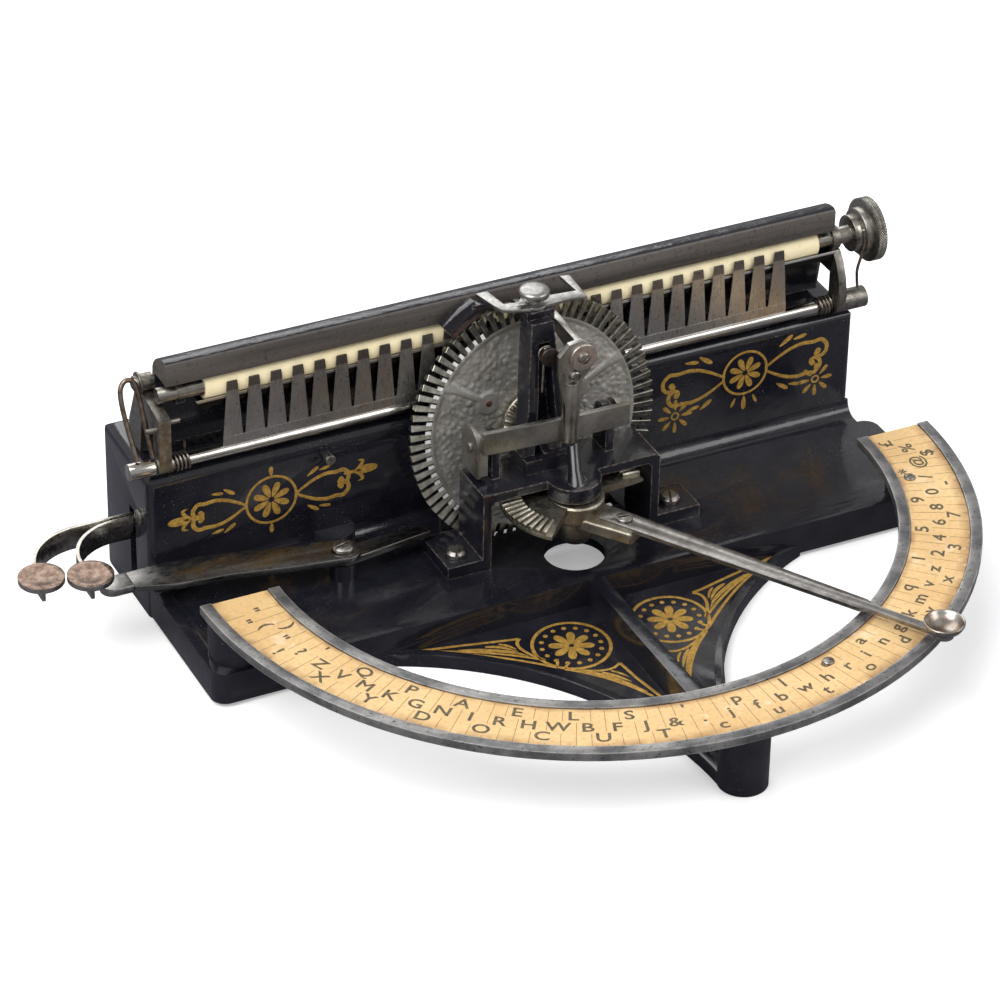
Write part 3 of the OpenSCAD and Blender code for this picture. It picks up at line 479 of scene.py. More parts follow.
parts += [blot(mid_x, mid_z - 11.6, 5.4, 2.2, -90, 0.5), blot(mid_x - 4, mid_z - 10.8, 3.6, 1.4, -115, 0.5),
          blot(mid_x + 4, mid_z - 10.8, 3.6, 1.4, -65, 0.5)]
finish_piece("wall_ornament", turned(join(*parts), UPRIGHT), gold, "base", sharp=60)


# ---- Index ring and its card ----
# A half-round iron channel, once grey enamel, rubbed bare on its rims. The card is printed, varnished paper
# glued in the channel, gone brown along its edges.
ring_metal, tree, surface = shader("ring_metal", (0.2, 0.2, 0.21), metallic=0.75, roughness=0.42)
worn = times(tree, edges(tree, 0.0008), between(tree, grain(tree, 260, 5), 0.3, 0.6))
tone = mix(tree, between(tree, grain(tree, 90, 6), 0.38, 0.66), (0.13, 0.13, 0.135), (0.33, 0.32, 0.31))
tone = mix(tree, between(tree, grain(tree, 900, 4), 0.60, 0.70), tone, (0.05, 0.043, 0.036))
set_socket(tree, surface, "Base Color", mix(tree, worn, tone, (0.62, 0.60, 0.56)))
set_socket(tree, surface, "Roughness", between(tree, grain(tree, 500, 4), 0.3, 0.7, 0.3, 0.55))
relief(tree, surface, grain(tree, 1300, 4), 0.00006)
soften("index_channel", ring_metal, "base", 0.45, 3)

card, tree, surface = shader("varnished_card", (0.73, 0.47, 0.2), roughness=0.55)
centre = node(tree, "Mapping", {"Vector": node(tree, "TexCoord").outputs["Object"],
                                "Location": (-0.0242, -0.02675, 0), "Scale": (1, 1, 0)})
away = node(tree, "VectorMath", {0: centre.outputs[0]}, operation="LENGTH").outputs["Value"]
colour = mix(tree, between(tree, grain(tree, 38, 5), 0.3, 0.7), (0.80, 0.56, 0.27), (0.67, 0.43, 0.185))
colour = speckled(tree, colour, 700, 0.5, 0.66, 0.35, (0.52, 0.30, 0.12))
outer_rim = between(tree, away, 0.1222, 0.1260)
inner_rim = between(tree, away, 0.1092, 0.1074)
rim_stain = node(tree, "Math", {0: outer_rim, 1: inner_rim}, operation="MAXIMUM").outputs[0]
rim_stain = times(tree, rim_stain, between(tree, grain(tree, 120, 5), 0.35, 0.62))
colour = mix(tree, times(tree, rim_stain, 0.85), colour, (0.27, 0.13, 0.045))
bleach = times(tree, between(tree, grain(tree, 62, 4, rough=0.7), 0.63, 0.69), 0.55)
colour = mix(tree, bleach, colour, (0.86, 0.66, 0.45))
set_socket(tree, surface, "Base Color", colour)
relief(tree, surface, grain(tree, 350, 4), 0.00005)
dress(card, "index_card")

print_ink, tree, surface = shader("print_ink", (0.075, 0.058, 0.03), roughness=0.6)
set_socket(tree, surface, "Base Color", mix(tree, between(tree, grain(tree, 1100, 3), 0.35, 0.68),
                                            (0.05, 0.04, 0.022), (0.19, 0.14, 0.07)))
hair_ink, tree, surface = shader("hair_line_ink", (0.2, 0.12, 0.05), roughness=0.6)
set_socket(tree, surface, "Base Color", mix(tree, between(tree, grain(tree, 260, 3), 0.35, 0.68),
                                            (0.10, 0.055, 0.02), (0.36, 0.21, 0.085)))
CARD_TOP = 28.6
CARD_IN, CARD_OUT = 107.6, 125.8
MARK_ROOM = 3.1
FIRST_MARK, MARK_STEP = -175.8, 2.183
marks = ['"', '"', "(", ")", '"', "!", "?", "'"]
marks += list("ZXVQMYKPGDNAIOREHCWLBUFSJT&'.cjpfublwtheroiandgskymqvxz1234567890-/*@$%£")
rows = (116.5, 121.5, 116.5, 110.9)
stretched = Matrix.Diagonal((1.18, 1, 0.25, 1))
letters = []
lines = []
for place, mark in enumerate(marks):
    angle = FIRST_MARK + MARK_STEP * place
    row = rows[place % 4]
    spin = Matrix.Rotation(math.radians(angle + 90), 4, "Z")
    text = bpy.data.curves.new("mark", "FONT")
    text.body = mark
    text.size = 6.1
    text.bevel_depth = 0.13
    text.bevel_resolution = 0
    text.align_x = "CENTER"
    text.align_y = "CENTER"
    text.resolution_u = 3
    holder = bpy.data.objects.new("mark", text)
    bpy.context.collection.objects.link(holder)
    bpy.context.view_layer.update()
    made = bpy.data.meshes.new_from_object(holder.evaluated_get(bpy.context.evaluated_depsgraph_get()))
    letter = bmesh.new()
    letter.from_mesh(made)
    bpy.data.objects.remove(holder)
    bpy.data.curves.remove(text)
    bpy.data.meshes.remove(made)
    bmesh.ops.remove_doubles(letter, verts=letter.verts, dist=1e-4)
    letters.append(turned(letter, spin @ Matrix.Translation((0, -row, CARD_TOP)) @ stretched))
    for start, end in ((CARD_IN, row - MARK_ROOM), (row + MARK_ROOM, CARD_OUT)):
        if end - start > 1:
            line = bmesh.new()
            bmesh.ops.create_cube(line, size=1)
            bmesh.ops.scale(line, vec=(0.17, end - start, 0.05), verts=line.verts)
            lines.append(turned(line, spin @ Matrix.Translation((1.05, -(start + end) / 2, CARD_TOP))))
finish_piece("index_letters", join(*letters), print_ink, "base", sharp=60)
finish_piece("index_lines", join(*lines), hair_ink, "base", sharp=60)


# ---- Small steel screws and pins ----
# Turned steel with filed slots, dulled and a little rusty in the slots.
def steel(name, light=(0.42, 0.40, 0.37), dark=(0.17, 0.145, 0.125), rough=0.34, rust=0.25, streak=(1, 1, 1),
          scale=500):
    """Bare or plated steel in two tones, stained with a little rust; streak stretches its grain."""
    material, tree, surface = shader(name, light, metallic=1.0, roughness=rough)
    colour = mix(tree, between(tree, grain(tree, scale, 5, streak), 0.36, 0.68), light, dark)
    stain = between(tree, grain(tree, 300, 5, rough=0.7), 0.60, 0.72)
    colour = mix(tree, times(tree, stain, rust), colour, (0.12, 0.062, 0.035))
    set_socket(tree, surface, "Base Color", colour)
    set_socket(tree, surface, "Roughness", between(tree, grain(tree, 900, 3, streak), 0.3, 0.72,
                                                   rough - 0.1, rough + 0.14))
    relief(tree, surface, grain(tree, 1500, 3, streak), 0.00003)
    return material


screw_steel = steel("screw_steel")
for name, body in (("index_screws", "base"), ("bridge_screws", "base"), ("lever_screw", "base"),
                   ("end_screw", "base"), ("wall_stud", "base"), ("pointer_screw", "pointer"),
                   ("yoke_screws", "yoke"), ("yoke_pins", "base")):
    soften(name, screw_steel, body, 0.22, 2, 40)
dress(screw_steel, "pointer_stud", "key_pin", "pawl_pin", "wheel_shaft", "spring_drum", "arm_stop",
      "escape_pawl", "carriage_rail")


# ---- Bridge, column and back board ----
# The bridge is bent from thick plate and screwed to the deck; the column stands on it and carries the wheel.
# Both are black enamel, rubbed to brown steel along their edges.
bridge_enamel = enamel("bridge_enamel", worn=0.9, dust=0.5)
soften("bridge_bracket", bridge_enamel, "base", 0.75, 3)
column_enamel = enamel("column_enamel", worn=0.35, dust=0.4)
soften("column", column_enamel, "base", 0.6, 3)
soften("stop_pin", column_enamel, "base", 0.2, 2)
soften("ink_arm", column_enamel, "base", 0.3, 2)
dress(column_enamel, "base_cover", "back_board", "wheel_back")
stud_steel = steel("stud_steel", (0.13, 0.11, 0.1), (0.06, 0.045, 0.04), 0.4, 0.4)
soften("column_stud", stud_steel, "base", 0.3, 2)


# ---- Guide plate and thumb screw ----
# Bright nickel: a thin sheet fork that holds the paper down, under a turned screw with a flat head on a
# knurled neck.
bright = steel("bright_nickel", (0.43, 0.425, 0.41), (0.27, 0.26, 0.24), 0.34, 0.12)
soften("guide_plate", bright, "base", 0.25, 2)


def spun(profile, steps=64):
    """A closed turned piece from (radius, height) points."""
    bm = bmesh.new()
    verts = [bm.verts.new((r, 0, h)) for r, h in profile]
    for a, b in zip(verts, verts[1:]):
        bm.edges.new((a, b))
    bmesh.ops.spin(bm, geom=bm.verts[:] + bm.edges[:], cent=(0, 0, 0), axis=(0, 0, 1), angle=2 * math.pi,
                   steps=steps, use_merge=True)
    bmesh.ops.remove_doubles(bm, verts=bm.verts, dist=1e-4)
    bmesh.ops.recalc_face_normals(bm, faces=bm.faces)
    return bm


bm = spun([(0, 99.2), (2.8, 99.15), (4.2, 98.95), (4.85, 98.5), (5, 98), (5, 97.1), (4.8, 96.6), (4.3, 96.45),
           (2.95, 96.4), (2.7, 95.3), (2.5, 94.25), (1.6, 94.2), (1.6, 89), (0, 89)], 72)
for vert in bm.verts:
    if 94.2 < vert.co.z < 96.42 and 2.2 < vert.co.xy.length < 3.2:
        vert.co.xy *= 1 + 0.05 * math.cos(24 * math.atan2(vert.co.y, vert.co.x))
bmesh.ops.translate(bm, verts=bm.verts, vec=(-4, 25.2, 0))
finish_piece("thumb_screw_head", bm, bright, "base", ["thumb_screw"], 40)


# ---- Ink pad ----
# A strip of felt on the arm, soaked with dark red ink.
felt, tree, surface = shader("inked_felt", (0.06, 0.025, 0.022), roughness=0.9)
set_socket(tree, surface, "Base Color", mix(tree, between(tree, grain(tree, 1400, 5), 0.35, 0.65),
                                            (0.07, 0.03, 0.025), (0.02, 0.012, 0.012)))
relief(tree, surface, grain(tree, 2200, 5), 0.0002)
soften("ink_pad", felt, "base", 0.5, 3)


# ---- Pointer ----
# A nickelled casting of hub, arm and half a bevel gear, with a steel blade screwed to it. The blade ends in a
# shallow cup for the finger.
REST_SWING = 57.6
SWING = Matrix.Rotation(math.radians(-REST_SWING), 4, "Z")


def ridge(inner, outer, width, height):
    """One rounded gear tooth lying along x, from inner to outer."""
    bm = bmesh.new()
    bmesh.ops.create_cone(bm, cap_ends=True, segments=12, radius1=width / 2,
                          radius2=width / 2 * outer / inner * 0.8, depth=outer - inner)
    turned(bm, Matrix.Translation(((inner + outer) / 2, 0, 0)) @ Matrix.Rotation(math.radians(90), 4, "Y"))
    bmesh.ops.scale(bm, vec=(1, 1, 2 * height / width), verts=bm.verts)
    rims = [e for e in bm.edges if len(e.link_faces) == 2 and any(len(f.verts) > 4 for f in e.link_faces)]
    bmesh.ops.bevel(bm, geom=rims, offset=0.25, offset_type="OFFSET", segments=2, profile=0.5, affect="EDGES",
                    material=-1)
    return bm


gear_nickel, tree, surface = shader("gear_nickel", (0.36, 0.33, 0.27), metallic=1.0, roughness=0.36)
colour = mix(tree, between(tree, grain(tree, 160, 6), 0.36, 0.66), (0.43, 0.40, 0.335), (0.25, 0.225, 0.175))
colour = speckled(tree, colour, 1500, 0.56, 0.68, 0.6, (0.10, 0.085, 0.06))
set_socket(tree, surface, "Base Color", colour)
set_socket(tree, surface, "Roughness", between(tree, grain(tree, 700, 4), 0.3, 0.7, 0.28, 0.5))
relief(tree, surface, grain(tree, 1700, 3), 0.0001)
hub = spun([(3.05, 35.2), (8.6, 35.2), (9.2, 34.7), (9.2, 29.4), (8.8, 28.6), (7.2, 28), (7, 23), (4.8, 19),
            (3.05, 19)], 72)
plate = bmesh.new()
section = [(8.5, 35.1), (17.4, 35.1), (18.2, 35.4), (24.6, 34.2), (24.8, 33.6), (24.6, 32.9), (17.4, 32.5),
           (8.5, 32.5)]
verts = [plate.verts.new((r, 0, z)) for r, z in section]
plate.faces.new(verts)
GEAR_START, GEAR_SWEEP = 60, 223.2
TOOTH_STEP = 6
turned(plate, Matrix.Rotation(math.radians(GEAR_START), 4, "Z"))
bmesh.ops.spin(plate, geom=plate.faces[:], cent=(0, 0, 0), axis=(0, 0, 1), angle=math.radians(GEAR_SWEEP),
               steps=90)
bmesh.ops.recalc_face_normals(plate, faces=plate.faces)
teeth = []
for k in range(-30, 31):
    angle = 90 + REST_SWING + (k + 0.5) * TOOTH_STEP
    if abs(angle - GEAR_START - GEAR_SWEEP / 2) < 109:
        tooth = ridge(17.9, 24.7, 1.8, 1.25)
        turned(tooth, Matrix.Rotation(math.radians(angle), 4, "Z") @ Matrix.Translation((21.3, 0, 35.1))
               @ Matrix.Rotation(math.radians(9), 4, "Y") @ Matrix.Translation((-21.3, 0, 0)))
        teeth.append(tooth)
arm = bmesh.new()
bmesh.ops.create_cube(arm, size=1)
for vert in arm.verts:
    length, half = (4, 6.8) if vert.co.x < 0 else (23.6, 5)
    vert.co = (length, half if vert.co.y > 0 else -half, 26.5 if vert.co.z < 0 else 31)
bmesh.ops.bevel(arm, geom=arm.edges[:], offset=0.9, offset_type="OFFSET", segments=3, profile=0.5,
                affect="EDGES", material=-1)
bm = turned(join(hub, plate, arm, *teeth), SWING)
finish_piece("pointer_casting", bm, gear_nickel, "pointer", ["pointer_gear"], 38)

blade_steel = steel("blade_steel", (0.36, 0.345, 0.33), (0.2, 0.185, 0.17), 0.36, 0.15, scale=260)
soften("pointer_blade", blade_steel, "pointer", 0.3, 2)
cup_steel, tree, surface = shader("cup_steel", (0.4, 0.37, 0.33), metallic=1.0, roughness=0.3)
set_socket(tree, surface, "Base Color", mix(tree, between(tree, grain(tree, 210, 5), 0.38, 0.64),
                                            (0.46, 0.43, 0.39), (0.21, 0.145, 0.1)))
relief(tree, surface, grain(tree, 900, 3), 0.00004)
CUP_REACH = 132
cup = spun([(0, 33.6), (2.5, 33.9), (4.4, 34.8), (5.5, 35.9), (5.9, 36.5), (6.2, 36.6), (6.5, 36.4),
            (6.4, 35.6), (5.6, 34.2), (4.2, 32.9), (2.4, 32.4), (1.5, 32.4), (1.5, 30.4), (0, 30.4)])
turned(cup, SWING @ Matrix.Translation((CUP_REACH, 0, 0)))
finish_piece("finger_cup_bowl", cup, cup_steel, "pointer", ["finger_cup"], 40)


# ---- Type wheel ----
# A cast disc with raised ribs and pebbled fields, nickelled. Round it stand 76 steel fingers, each with a type
# block on its back, in a hoop whose near-black colour is painted shade in the gaps between them; near-white
# strips in some of the gaps are painted highlights.
WHEEL_LEAN = Matrix.Rotation(math.radians(-7.3), 4, "X")
AXLE = Matrix.Translation((-2.2, 28.5, 47.5)) @ WHEEL_LEAN
DISC_BORE, DISC_EDGE = 3.05, 36.2
RIBS = (27, 147, 267)
PEBBLE = 2.2


def clamped(value):
    return max(0.0, min(1.0, value))


def disc_height(u, v):
    """How far the disc's face stands out at a point, in millimetres."""
    away = math.hypot(u, v)
    near = noise.voronoi(Vector((u / PEBBLE, v / PEBBLE, 4.2)))[0]
    height = 0.42 * clamped((near[1] - near[0]) * 1.7) ** 0.7 + 0.04 * noise.noise(Vector((u, v, 0)) * 1.7)
    smooth = clamped((away - (DISC_EDGE - 1.3)) / 0.5)
    for rib in RIBS:
        a = math.radians(rib)
        along = u * math.cos(a) + v * math.sin(a)
        side = abs(v * math.cos(a) - u * math.sin(a))
        if along > 15:
            flare = 0.7 + max(0.0, along - 29) * 0.16
            smooth = max(smooth, clamped((flare + 0.6 - side) / 0.6))
        pad = math.hypot(along - 18.4, side)
        smooth = max(smooth, clamped((4.2 - pad) / 0.6))
    smooth = max(smooth, clamped((9.6 - away) / 0.8))
    return height * (1 - smooth) + 0.68 * smooth


bm = bmesh.new()
verts = [bm.verts.new((DISC_BORE + (DISC_EDGE - DISC_BORE) * k / 66, -0.8, 0)) for k in range(67)]
for a, b in zip(verts, verts[1:]):
    bm.edges.new((a, b))
bmesh.ops.spin(bm, geom=bm.verts[:] + bm.edges[:], cent=(0, 0, 0), axis=(0, 1, 0), angle=2 * math.pi,
               steps=420, use_merge=True)
bmesh.ops.remove_doubles(bm, verts=bm.verts, dist=1e-5)
back = bmesh.ops.extrude_face_region(bm, geom=bm.faces[:])
behind = {v for v in back["geom"] if isinstance(v, bmesh.types.BMVert)}
for vert in bm.verts:
    vert.co.y = 0.8 if vert in behind else -0.8 - disc_height(vert.co.x, vert.co.z)
bmesh.ops.dissolve_limit(bm, angle_limit=math.radians(0.5), verts=list(behind),
                         edges=[e for e in bm.edges if all(v in behind for v in e.verts)])
bmesh.ops.recalc_face_normals(bm, faces=bm.faces)
disc_nickel, tree, surface = shader("disc_nickel", (0.4, 0.385, 0.35), metallic=0.7, roughness=0.42)
colour = mix(tree, between(tree, grain(tree, 130, 6), 0.36, 0.66), (0.56, 0.54, 0.50), (0.40, 0.38, 0.34))
colour = speckled(tree, colour, 2400, 0.58, 0.66, 0.5, (0.13, 0.115, 0.09), 2)
set_socket(tree, surface, "Base Color", colour)
set_socket(tree, surface, "Roughness", between(tree, grain(tree, 600, 4), 0.3, 0.7, 0.34, 0.55))
relief(tree, surface, grain(tree, 2600, 3), 0.00005)
finish_piece("wheel_face", turned(bm, AXLE), disc_nickel, "type_wheel", ["wheel_disc"], 60)

copper = steel("rivet_copper", (0.46, 0.27, 0.2), (0.26, 0.13, 0.09), 0.45, 0.1)
soften("wheel_rivets", copper, "type_wheel", 0.2, 2)

finger_nickel, tree, surface = shader("finger_nickel", (0.5, 0.48, 0.43), metallic=1.0, roughness=0.26)
colour = mix(tree, between(tree, grain(tree, 420, 4), 0.38, 0.66), (0.44, 0.425, 0.375), (0.21, 0.195, 0.155))
set_socket(tree, surface, "Base Color", colour)
set_socket(tree, surface, "Roughness", between(tree, grain(tree, 800, 3), 0.3, 0.7, 0.28, 0.44))
FINGERS = 76
FINGER_STEP = 360 / FINGERS


def round_wheel(bm, place):
    """Sets a piece made at the wheel's right side at one finger's place, counted from the top."""
    return turned(bm, Matrix.Rotation(-math.radians(90 + place * FINGER_STEP), 4, "Y"))


fingers = []
for k in range(FINGERS):
    finger = bmesh.new()
    bmesh.ops.create_cube(finger, size=1)
    for vert in finger.verts:
        reach, half = (43.4, 1.16) if vert.co.x > 0 else (35.8, 0.82)
        vert.co = (reach, -1.25 if vert.co.y < 0 else -0.35, half if vert.co.z > 0 else -half)
    bmesh.ops.bevel(finger, geom=finger.edges[:], offset=0.16, offset_type="OFFSET", segments=1, profile=0.5,
                    affect="EDGES", material=-1)
    round_wheel(turned(finger, Matrix.Rotation(math.radians(20), 4, "X")), k)
    block = bmesh.new()
    bmesh.ops.create_cube(block, size=1)
    bmesh.ops.scale(block, vec=(2.6, 1.3, 1.5), verts=block.verts)
    bmesh.ops.translate(block, verts=block.verts, vec=(41.9, 0.5, 0))
    fingers += [finger, round_wheel(block, k)]
finish_piece("type_fingers", turned(join(*fingers), AXLE), finger_nickel, "type_wheel",
             ["wheel_fingers"], 30)

# A hoop behind the finger roots. Its near-black colour, seen in the gaps between fingers, is painted shade.
inner, outer = DISC_EDGE - 0.2, DISC_EDGE + 1.5
gap_shade_hoop = spun([(inner, -0.9), (outer, -0.9), (outer, 1.2), (inner, 1.2), (inner, -0.9)], 2 * FINGERS)
turned(gap_shade_hoop, AXLE @ Matrix.Rotation(math.radians(-90), 4, "X"))
painted_gap_shade_steel = steel("painted_gap_shade_steel", (0.1, 0.095, 0.085), (0.045, 0.04, 0.035), 0.4, 0.2)
finish_piece("finger_gap_shade_hoop", gap_shade_hoop, painted_gap_shade_steel, "type_wheel", sharp=40)

# Near-white strips set in the gaps after fingers 5 to 30, counted from the top: painted highlights standing
# for the lit front edges of the fingers.
gap_highlight_paint, tree, surface = shader("painted_gap_highlight", (0.88, 0.87, 0.84), metallic=0.2, roughness=0.3)
set_socket(tree, surface, "Base Color", mix(tree, between(tree, grain(tree, 700, 3), 0.5, 0.72),
                                            (0.93, 0.92, 0.9), (0.5, 0.48, 0.44)))
highlight_strips = []
for k in range(5, 31):
    highlight_strip = bmesh.new()
    bmesh.ops.create_cube(highlight_strip, size=1)
    bmesh.ops.scale(highlight_strip, vec=(1.9, 0.3, 1.15), verts=highlight_strip.verts)
    bmesh.ops.translate(highlight_strip, verts=highlight_strip.verts, vec=(37.3, -1.0, 0))
    highlight_strips.append(round_wheel(highlight_strip, k + 0.5))
finish_piece("finger_gap_highlights", turned(join(*highlight_strips), AXLE), gap_highlight_paint, "type_wheel", sharp=40)


# ---- Bevel pinion ----
# Cut bevel gear, nickelled, pinned to the wheel's shaft. It meshes with the pointer's gear under the bridge.
parts = [turned(spun([(3.05, -4.4), (7.2, -5.2), (10.6, -3.6), (11.6, -2.4), (11.6, -1.5), (3.05, -1.5)], 60),
                Matrix.Rotation(math.radians(-90), 4, "X"))]
PINION_TEETH = 30
for k in range(PINION_TEETH):
    tooth = ridge(7.4, 11.7, 1.6, 0.9)
    angle = 270 + k * 360 / PINION_TEETH
    turned(tooth, Matrix.Rotation(-math.radians(angle), 4, "Y") @ Matrix.Translation((9.5, -4.0, 0))
           @ Matrix.Rotation(math.radians(22), 4, "Z") @ Matrix.Rotation(math.radians(-90), 4, "X")
           @ Matrix.Translation((-9.5, 0, 0)))
    parts.append(tooth)
finish_piece("pinion_body", turned(join(*parts), AXLE), gear_nickel, "type_wheel",
             ["wheel_pinion"], 38)


# ---- Printing yoke ----
# A nickelled strap between two ears, with an upright lever that throws the hammer, on a bright washer.
yoke_nickel, tree, surface = shader("yoke_nickel", (0.4, 0.385, 0.35), metallic=1.0, roughness=0.34)
colour = mix(tree, between(tree, grain(tree, 110, 6), 0.36, 0.66), (0.47, 0.46, 0.43), (0.29, 0.275, 0.24))
colour = speckled(tree, colour, 1900, 0.56, 0.68, 0.5, (0.12, 0.105, 0.08))
set_socket(tree, surface, "Base Color", colour)
set_socket(tree, surface, "Roughness", between(tree, grain(tree, 500, 4), 0.3, 0.7, 0.26, 0.46))
relief(tree, surface, grain(tree, 1500, 3), 0.00008)
soften("yoke_strap", yoke_nickel, "yoke", 0.6, 3)
soften("hammer_lever", yoke_nickel, "yoke", 0.35, 2)
washer = steel("washer_nickel", (0.62, 0.58, 0.53), (0.46, 0.38, 0.33), 0.34, 0.1)
soften("yoke_washer", washer, "yoke", 0.3, 3)


# ---- Platen bar and its brackets ----
# A long bar over the roller: brown-grey scraped front, black japan on its rounded, lumpy top. Brackets of
# thick brown steel close both ends. The bright edge under the roller is a nickelled plate; its lower part is
# darkened to near black, painted shade.
bar_front, tree, surface = shader("bar_front", (0.085, 0.075, 0.066), metallic=0.3, roughness=0.45)
scraped = between(tree, grain(tree, 120, 6, (0.08, 1, 2.2)), 0.33, 0.68)
colour = mix(tree, scraped, (0.115, 0.10, 0.09), (0.055, 0.047, 0.04))
colour = speckled(tree, colour, 700, 0.56, 0.7, 0.5, (0.02, 0.016, 0.014), 4)
set_socket(tree, surface, "Base Color", colour)
relief(tree, surface, grain(tree, 500, 4, (0.1, 1, 2)), 0.0001)
bar_top = enamel("bar_japan", dust=0.5)
tree = bar_top.node_tree
relief(tree, tree.nodes["Principled BSDF"], grain(tree, 130, 4, (0.35, 1, 1)), 0.0016)
BAR_LEFT, BAR_RIGHT = -124.3, 112.6
bm = bmesh.new()
section = [(38, 85.4), (38, 92.7), (38.6, 93.4), (40, 93.7), (42.4, 93.4), (44.8, 92.5), (47, 90.9),
           (48.7, 88.9), (49.5, 87), (49.5, 85.4)]
bm.faces.new([bm.verts.new((BAR_LEFT, y, z)) for y, z in section])
extruded(bm, (BAR_RIGHT - BAR_LEFT, 0, 0))
for face in bm.faces:
    if face.normal.z > 0.7 or face.normal.y > 0.3:
        face.material_index = 1
finish_piece("platen_bar_body", bm, [bar_front, bar_top], "carriage", ["platen_bar"], 50, 0.3, 2)

brown_steel = steel("brown_steel", (0.31, 0.295, 0.265), (0.16, 0.14, 0.115), 0.4, 0.5)
soften("left_bracket", brown_steel, "carriage", 0.5, 3)
soften("right_bracket", brown_steel, "carriage", 0.5, 3)
soften("end_spool", brown_steel, "carriage", 0.2, 2)


def rise(tree, start, end):
    """0 below one height over the table and 1 above another, in metres."""
    where = node(tree, "SeparateXYZ", {0: node(tree, "TexCoord").outputs["Object"]})
    return between(tree, where.outputs["Z"], start, end)


# Below 77 mm over the table the plate turns near black: painted shade on its lower part. Above that line it is
# plain nickel.
nickel_with_painted_shade, tree, surface = shader("nickel_with_painted_shade", (0.4, 0.4, 0.38), metallic=1.0, roughness=0.35)
set_socket(tree, surface, "Base Color", mix(tree, rise(tree, 0.0770, 0.0773), (0.035, 0.03, 0.026),
                                            (0.5, 0.49, 0.46)))
soften("feed_plate", nickel_with_painted_shade, "carriage", 0.1, 1)


# ---- Wires ----
# Browned spring wire: detent on the knob, hairpin handle of the comb, two springs wound on the comb rod and
# the small spring on the column.
wire_steel = steel("wire_steel", (0.36, 0.33, 0.29), (0.17, 0.12, 0.09), 0.32, 0.35)
old_wire = steel("old_wire", (0.3, 0.25, 0.2), (0.15, 0.09, 0.06), 0.34, 0.6)
detent = through([(121.9, 36.8, 62.4), (120.6, 35.2, 66.4), (119.6, 33.8, 71.4), (120.4, 33.2, 76.5),
                  (121.2, 33, 82), (120.6, 33.2, 86.4)], 7)
finish_piece("detent_wire", wire(detent, 0.5), wire_steel, "carriage", ["detent_spring"], 60)
hairpin = through([(-134.7, 37.6, 61.3), (-136.1, 43.6, 74.4), (-136.3, 46.2, 81.4), (-135.3, 47.2, 84.1),
                   (-133.4, 47.6, 85.2), (-131.5, 47.2, 84.1), (-130.7, 46.2, 81.4), (-130.1, 43.6, 74.4),
                   (-129.3, 37.6, 61.3)], 7)
finish_piece("hairpin_wire", wire(hairpin, 0.85), old_wire, "comb", ["hairpin_handle"], 60)


PER_TURN = 20


def coil(x, turns, pitch=1.3, leg=5):
    """A spring wound on the comb rod, with one leg bent up to the bracket."""
    line = [(x + pitch * a / (2 * math.pi), 37.5 + 2.8 * math.cos(a), 58 + 2.8 * math.sin(a))
            for a in (2 * math.pi * k / PER_TURN for k in range(int(turns * PER_TURN) + 1))]
    return wire(line + [(line[-1][0], line[-1][1] + leg * 0.05, line[-1][2] + leg)], 0.4)


finish_piece("rod_springs", join(coil(-122.8, 4), coil(107.2, 3.5)), wire_steel, "carriage",
             ["comb_springs"], 60)
line = [(-5 + 2.5 * math.cos(a), -18.2 - 1.15 * a / (2 * math.pi), 31.6 + 2.5 * math.sin(a))
        for a in (2 * math.pi * k / PER_TURN - 1.2 for k in range(31))]
line.append((line[-1][0] - 1.2, line[-1][1] + 0.6, line[-1][2] - 15))
turned_spring = turned(wire(line, 0.38), Matrix.Translation((0, 28.5, 47.5)) @ WHEEL_LEAN)
finish_piece("stud_spring", turned_spring, wire_steel, "base", ["column_spring"], 60)


# ---- Feed roller ----
# A steel shaft in a sleeve of cream rubber, with a turned flange and a diamond-knurled knob at its right end.
rubber, tree, surface = shader("cream_rubber", (0.84, 0.75, 0.50), roughness=0.55)
yellowed = between(tree, grain(tree, 60, 5, (0.3, 1, 1)), 0.3, 0.7)
colour = mix(tree, yellowed, (0.88, 0.79, 0.54), (0.76, 0.64, 0.38))
colour = speckled(tree, colour, 900, 0.6, 0.7, 0.3, (0.5, 0.36, 0.18))
set_socket(tree, surface, "Base Color", colour)
relief(tree, surface, grain(tree, 600, 3), 0.00006)
soften("feed_sleeve", rubber, "feed_roller", 0.4, 3)
shaft_steel = steel("shaft_steel", (0.42, 0.40, 0.36), (0.22, 0.19, 0.16), 0.3, 0.3, (0.3, 1, 1))
soften("feed_shaft", shaft_steel, "feed_roller", 0.4, 2)
KNURLS, KNURL_START, KNURL_WIDTH = 72, 125.9, 3.1
profile = [(0.0, 123.0), (7.6, 123.0), (8.0, 123.4), (8.0, 125.4), (10.1, 125.5), (10.75, KNURL_START)]
profile += [(10.75, KNURL_START + KNURL_WIDTH * k / 22) for k in range(1, 23)]
profile += [(10.1, 129.3), (9.8, 129.4), (8.4, 129.4), (8.0, 129.1), (0.0, 129.1)]
bm = spun(profile, 6 * KNURLS)
for vert in bm.verts:
    if KNURL_START + 0.05 < vert.co.z < KNURL_START + KNURL_WIDTH - 0.05 and vert.co.xy.length > 10.4:
        along = (vert.co.z - KNURL_START) / KNURL_WIDTH * 3.3
        around = math.atan2(vert.co.y, vert.co.x) / (2 * math.pi) * KNURLS
        dent = max(abs(math.cos(math.pi * (around + along))), abs(math.cos(math.pi * (around - along))))
        vert.co.xy *= 1 - 0.035 * dent ** 4
turned(bm, Matrix.Translation((0, 42, 80.6)) @ Matrix.Rotation(math.radians(90), 4, "Y"))
knob_steel = steel("knob_steel", (0.36, 0.35, 0.32), (0.2, 0.185, 0.16), 0.36, 0.2)
finish_piece("knob_body", bm, knob_steel, "feed_roller", ["feed_knob"], 50)


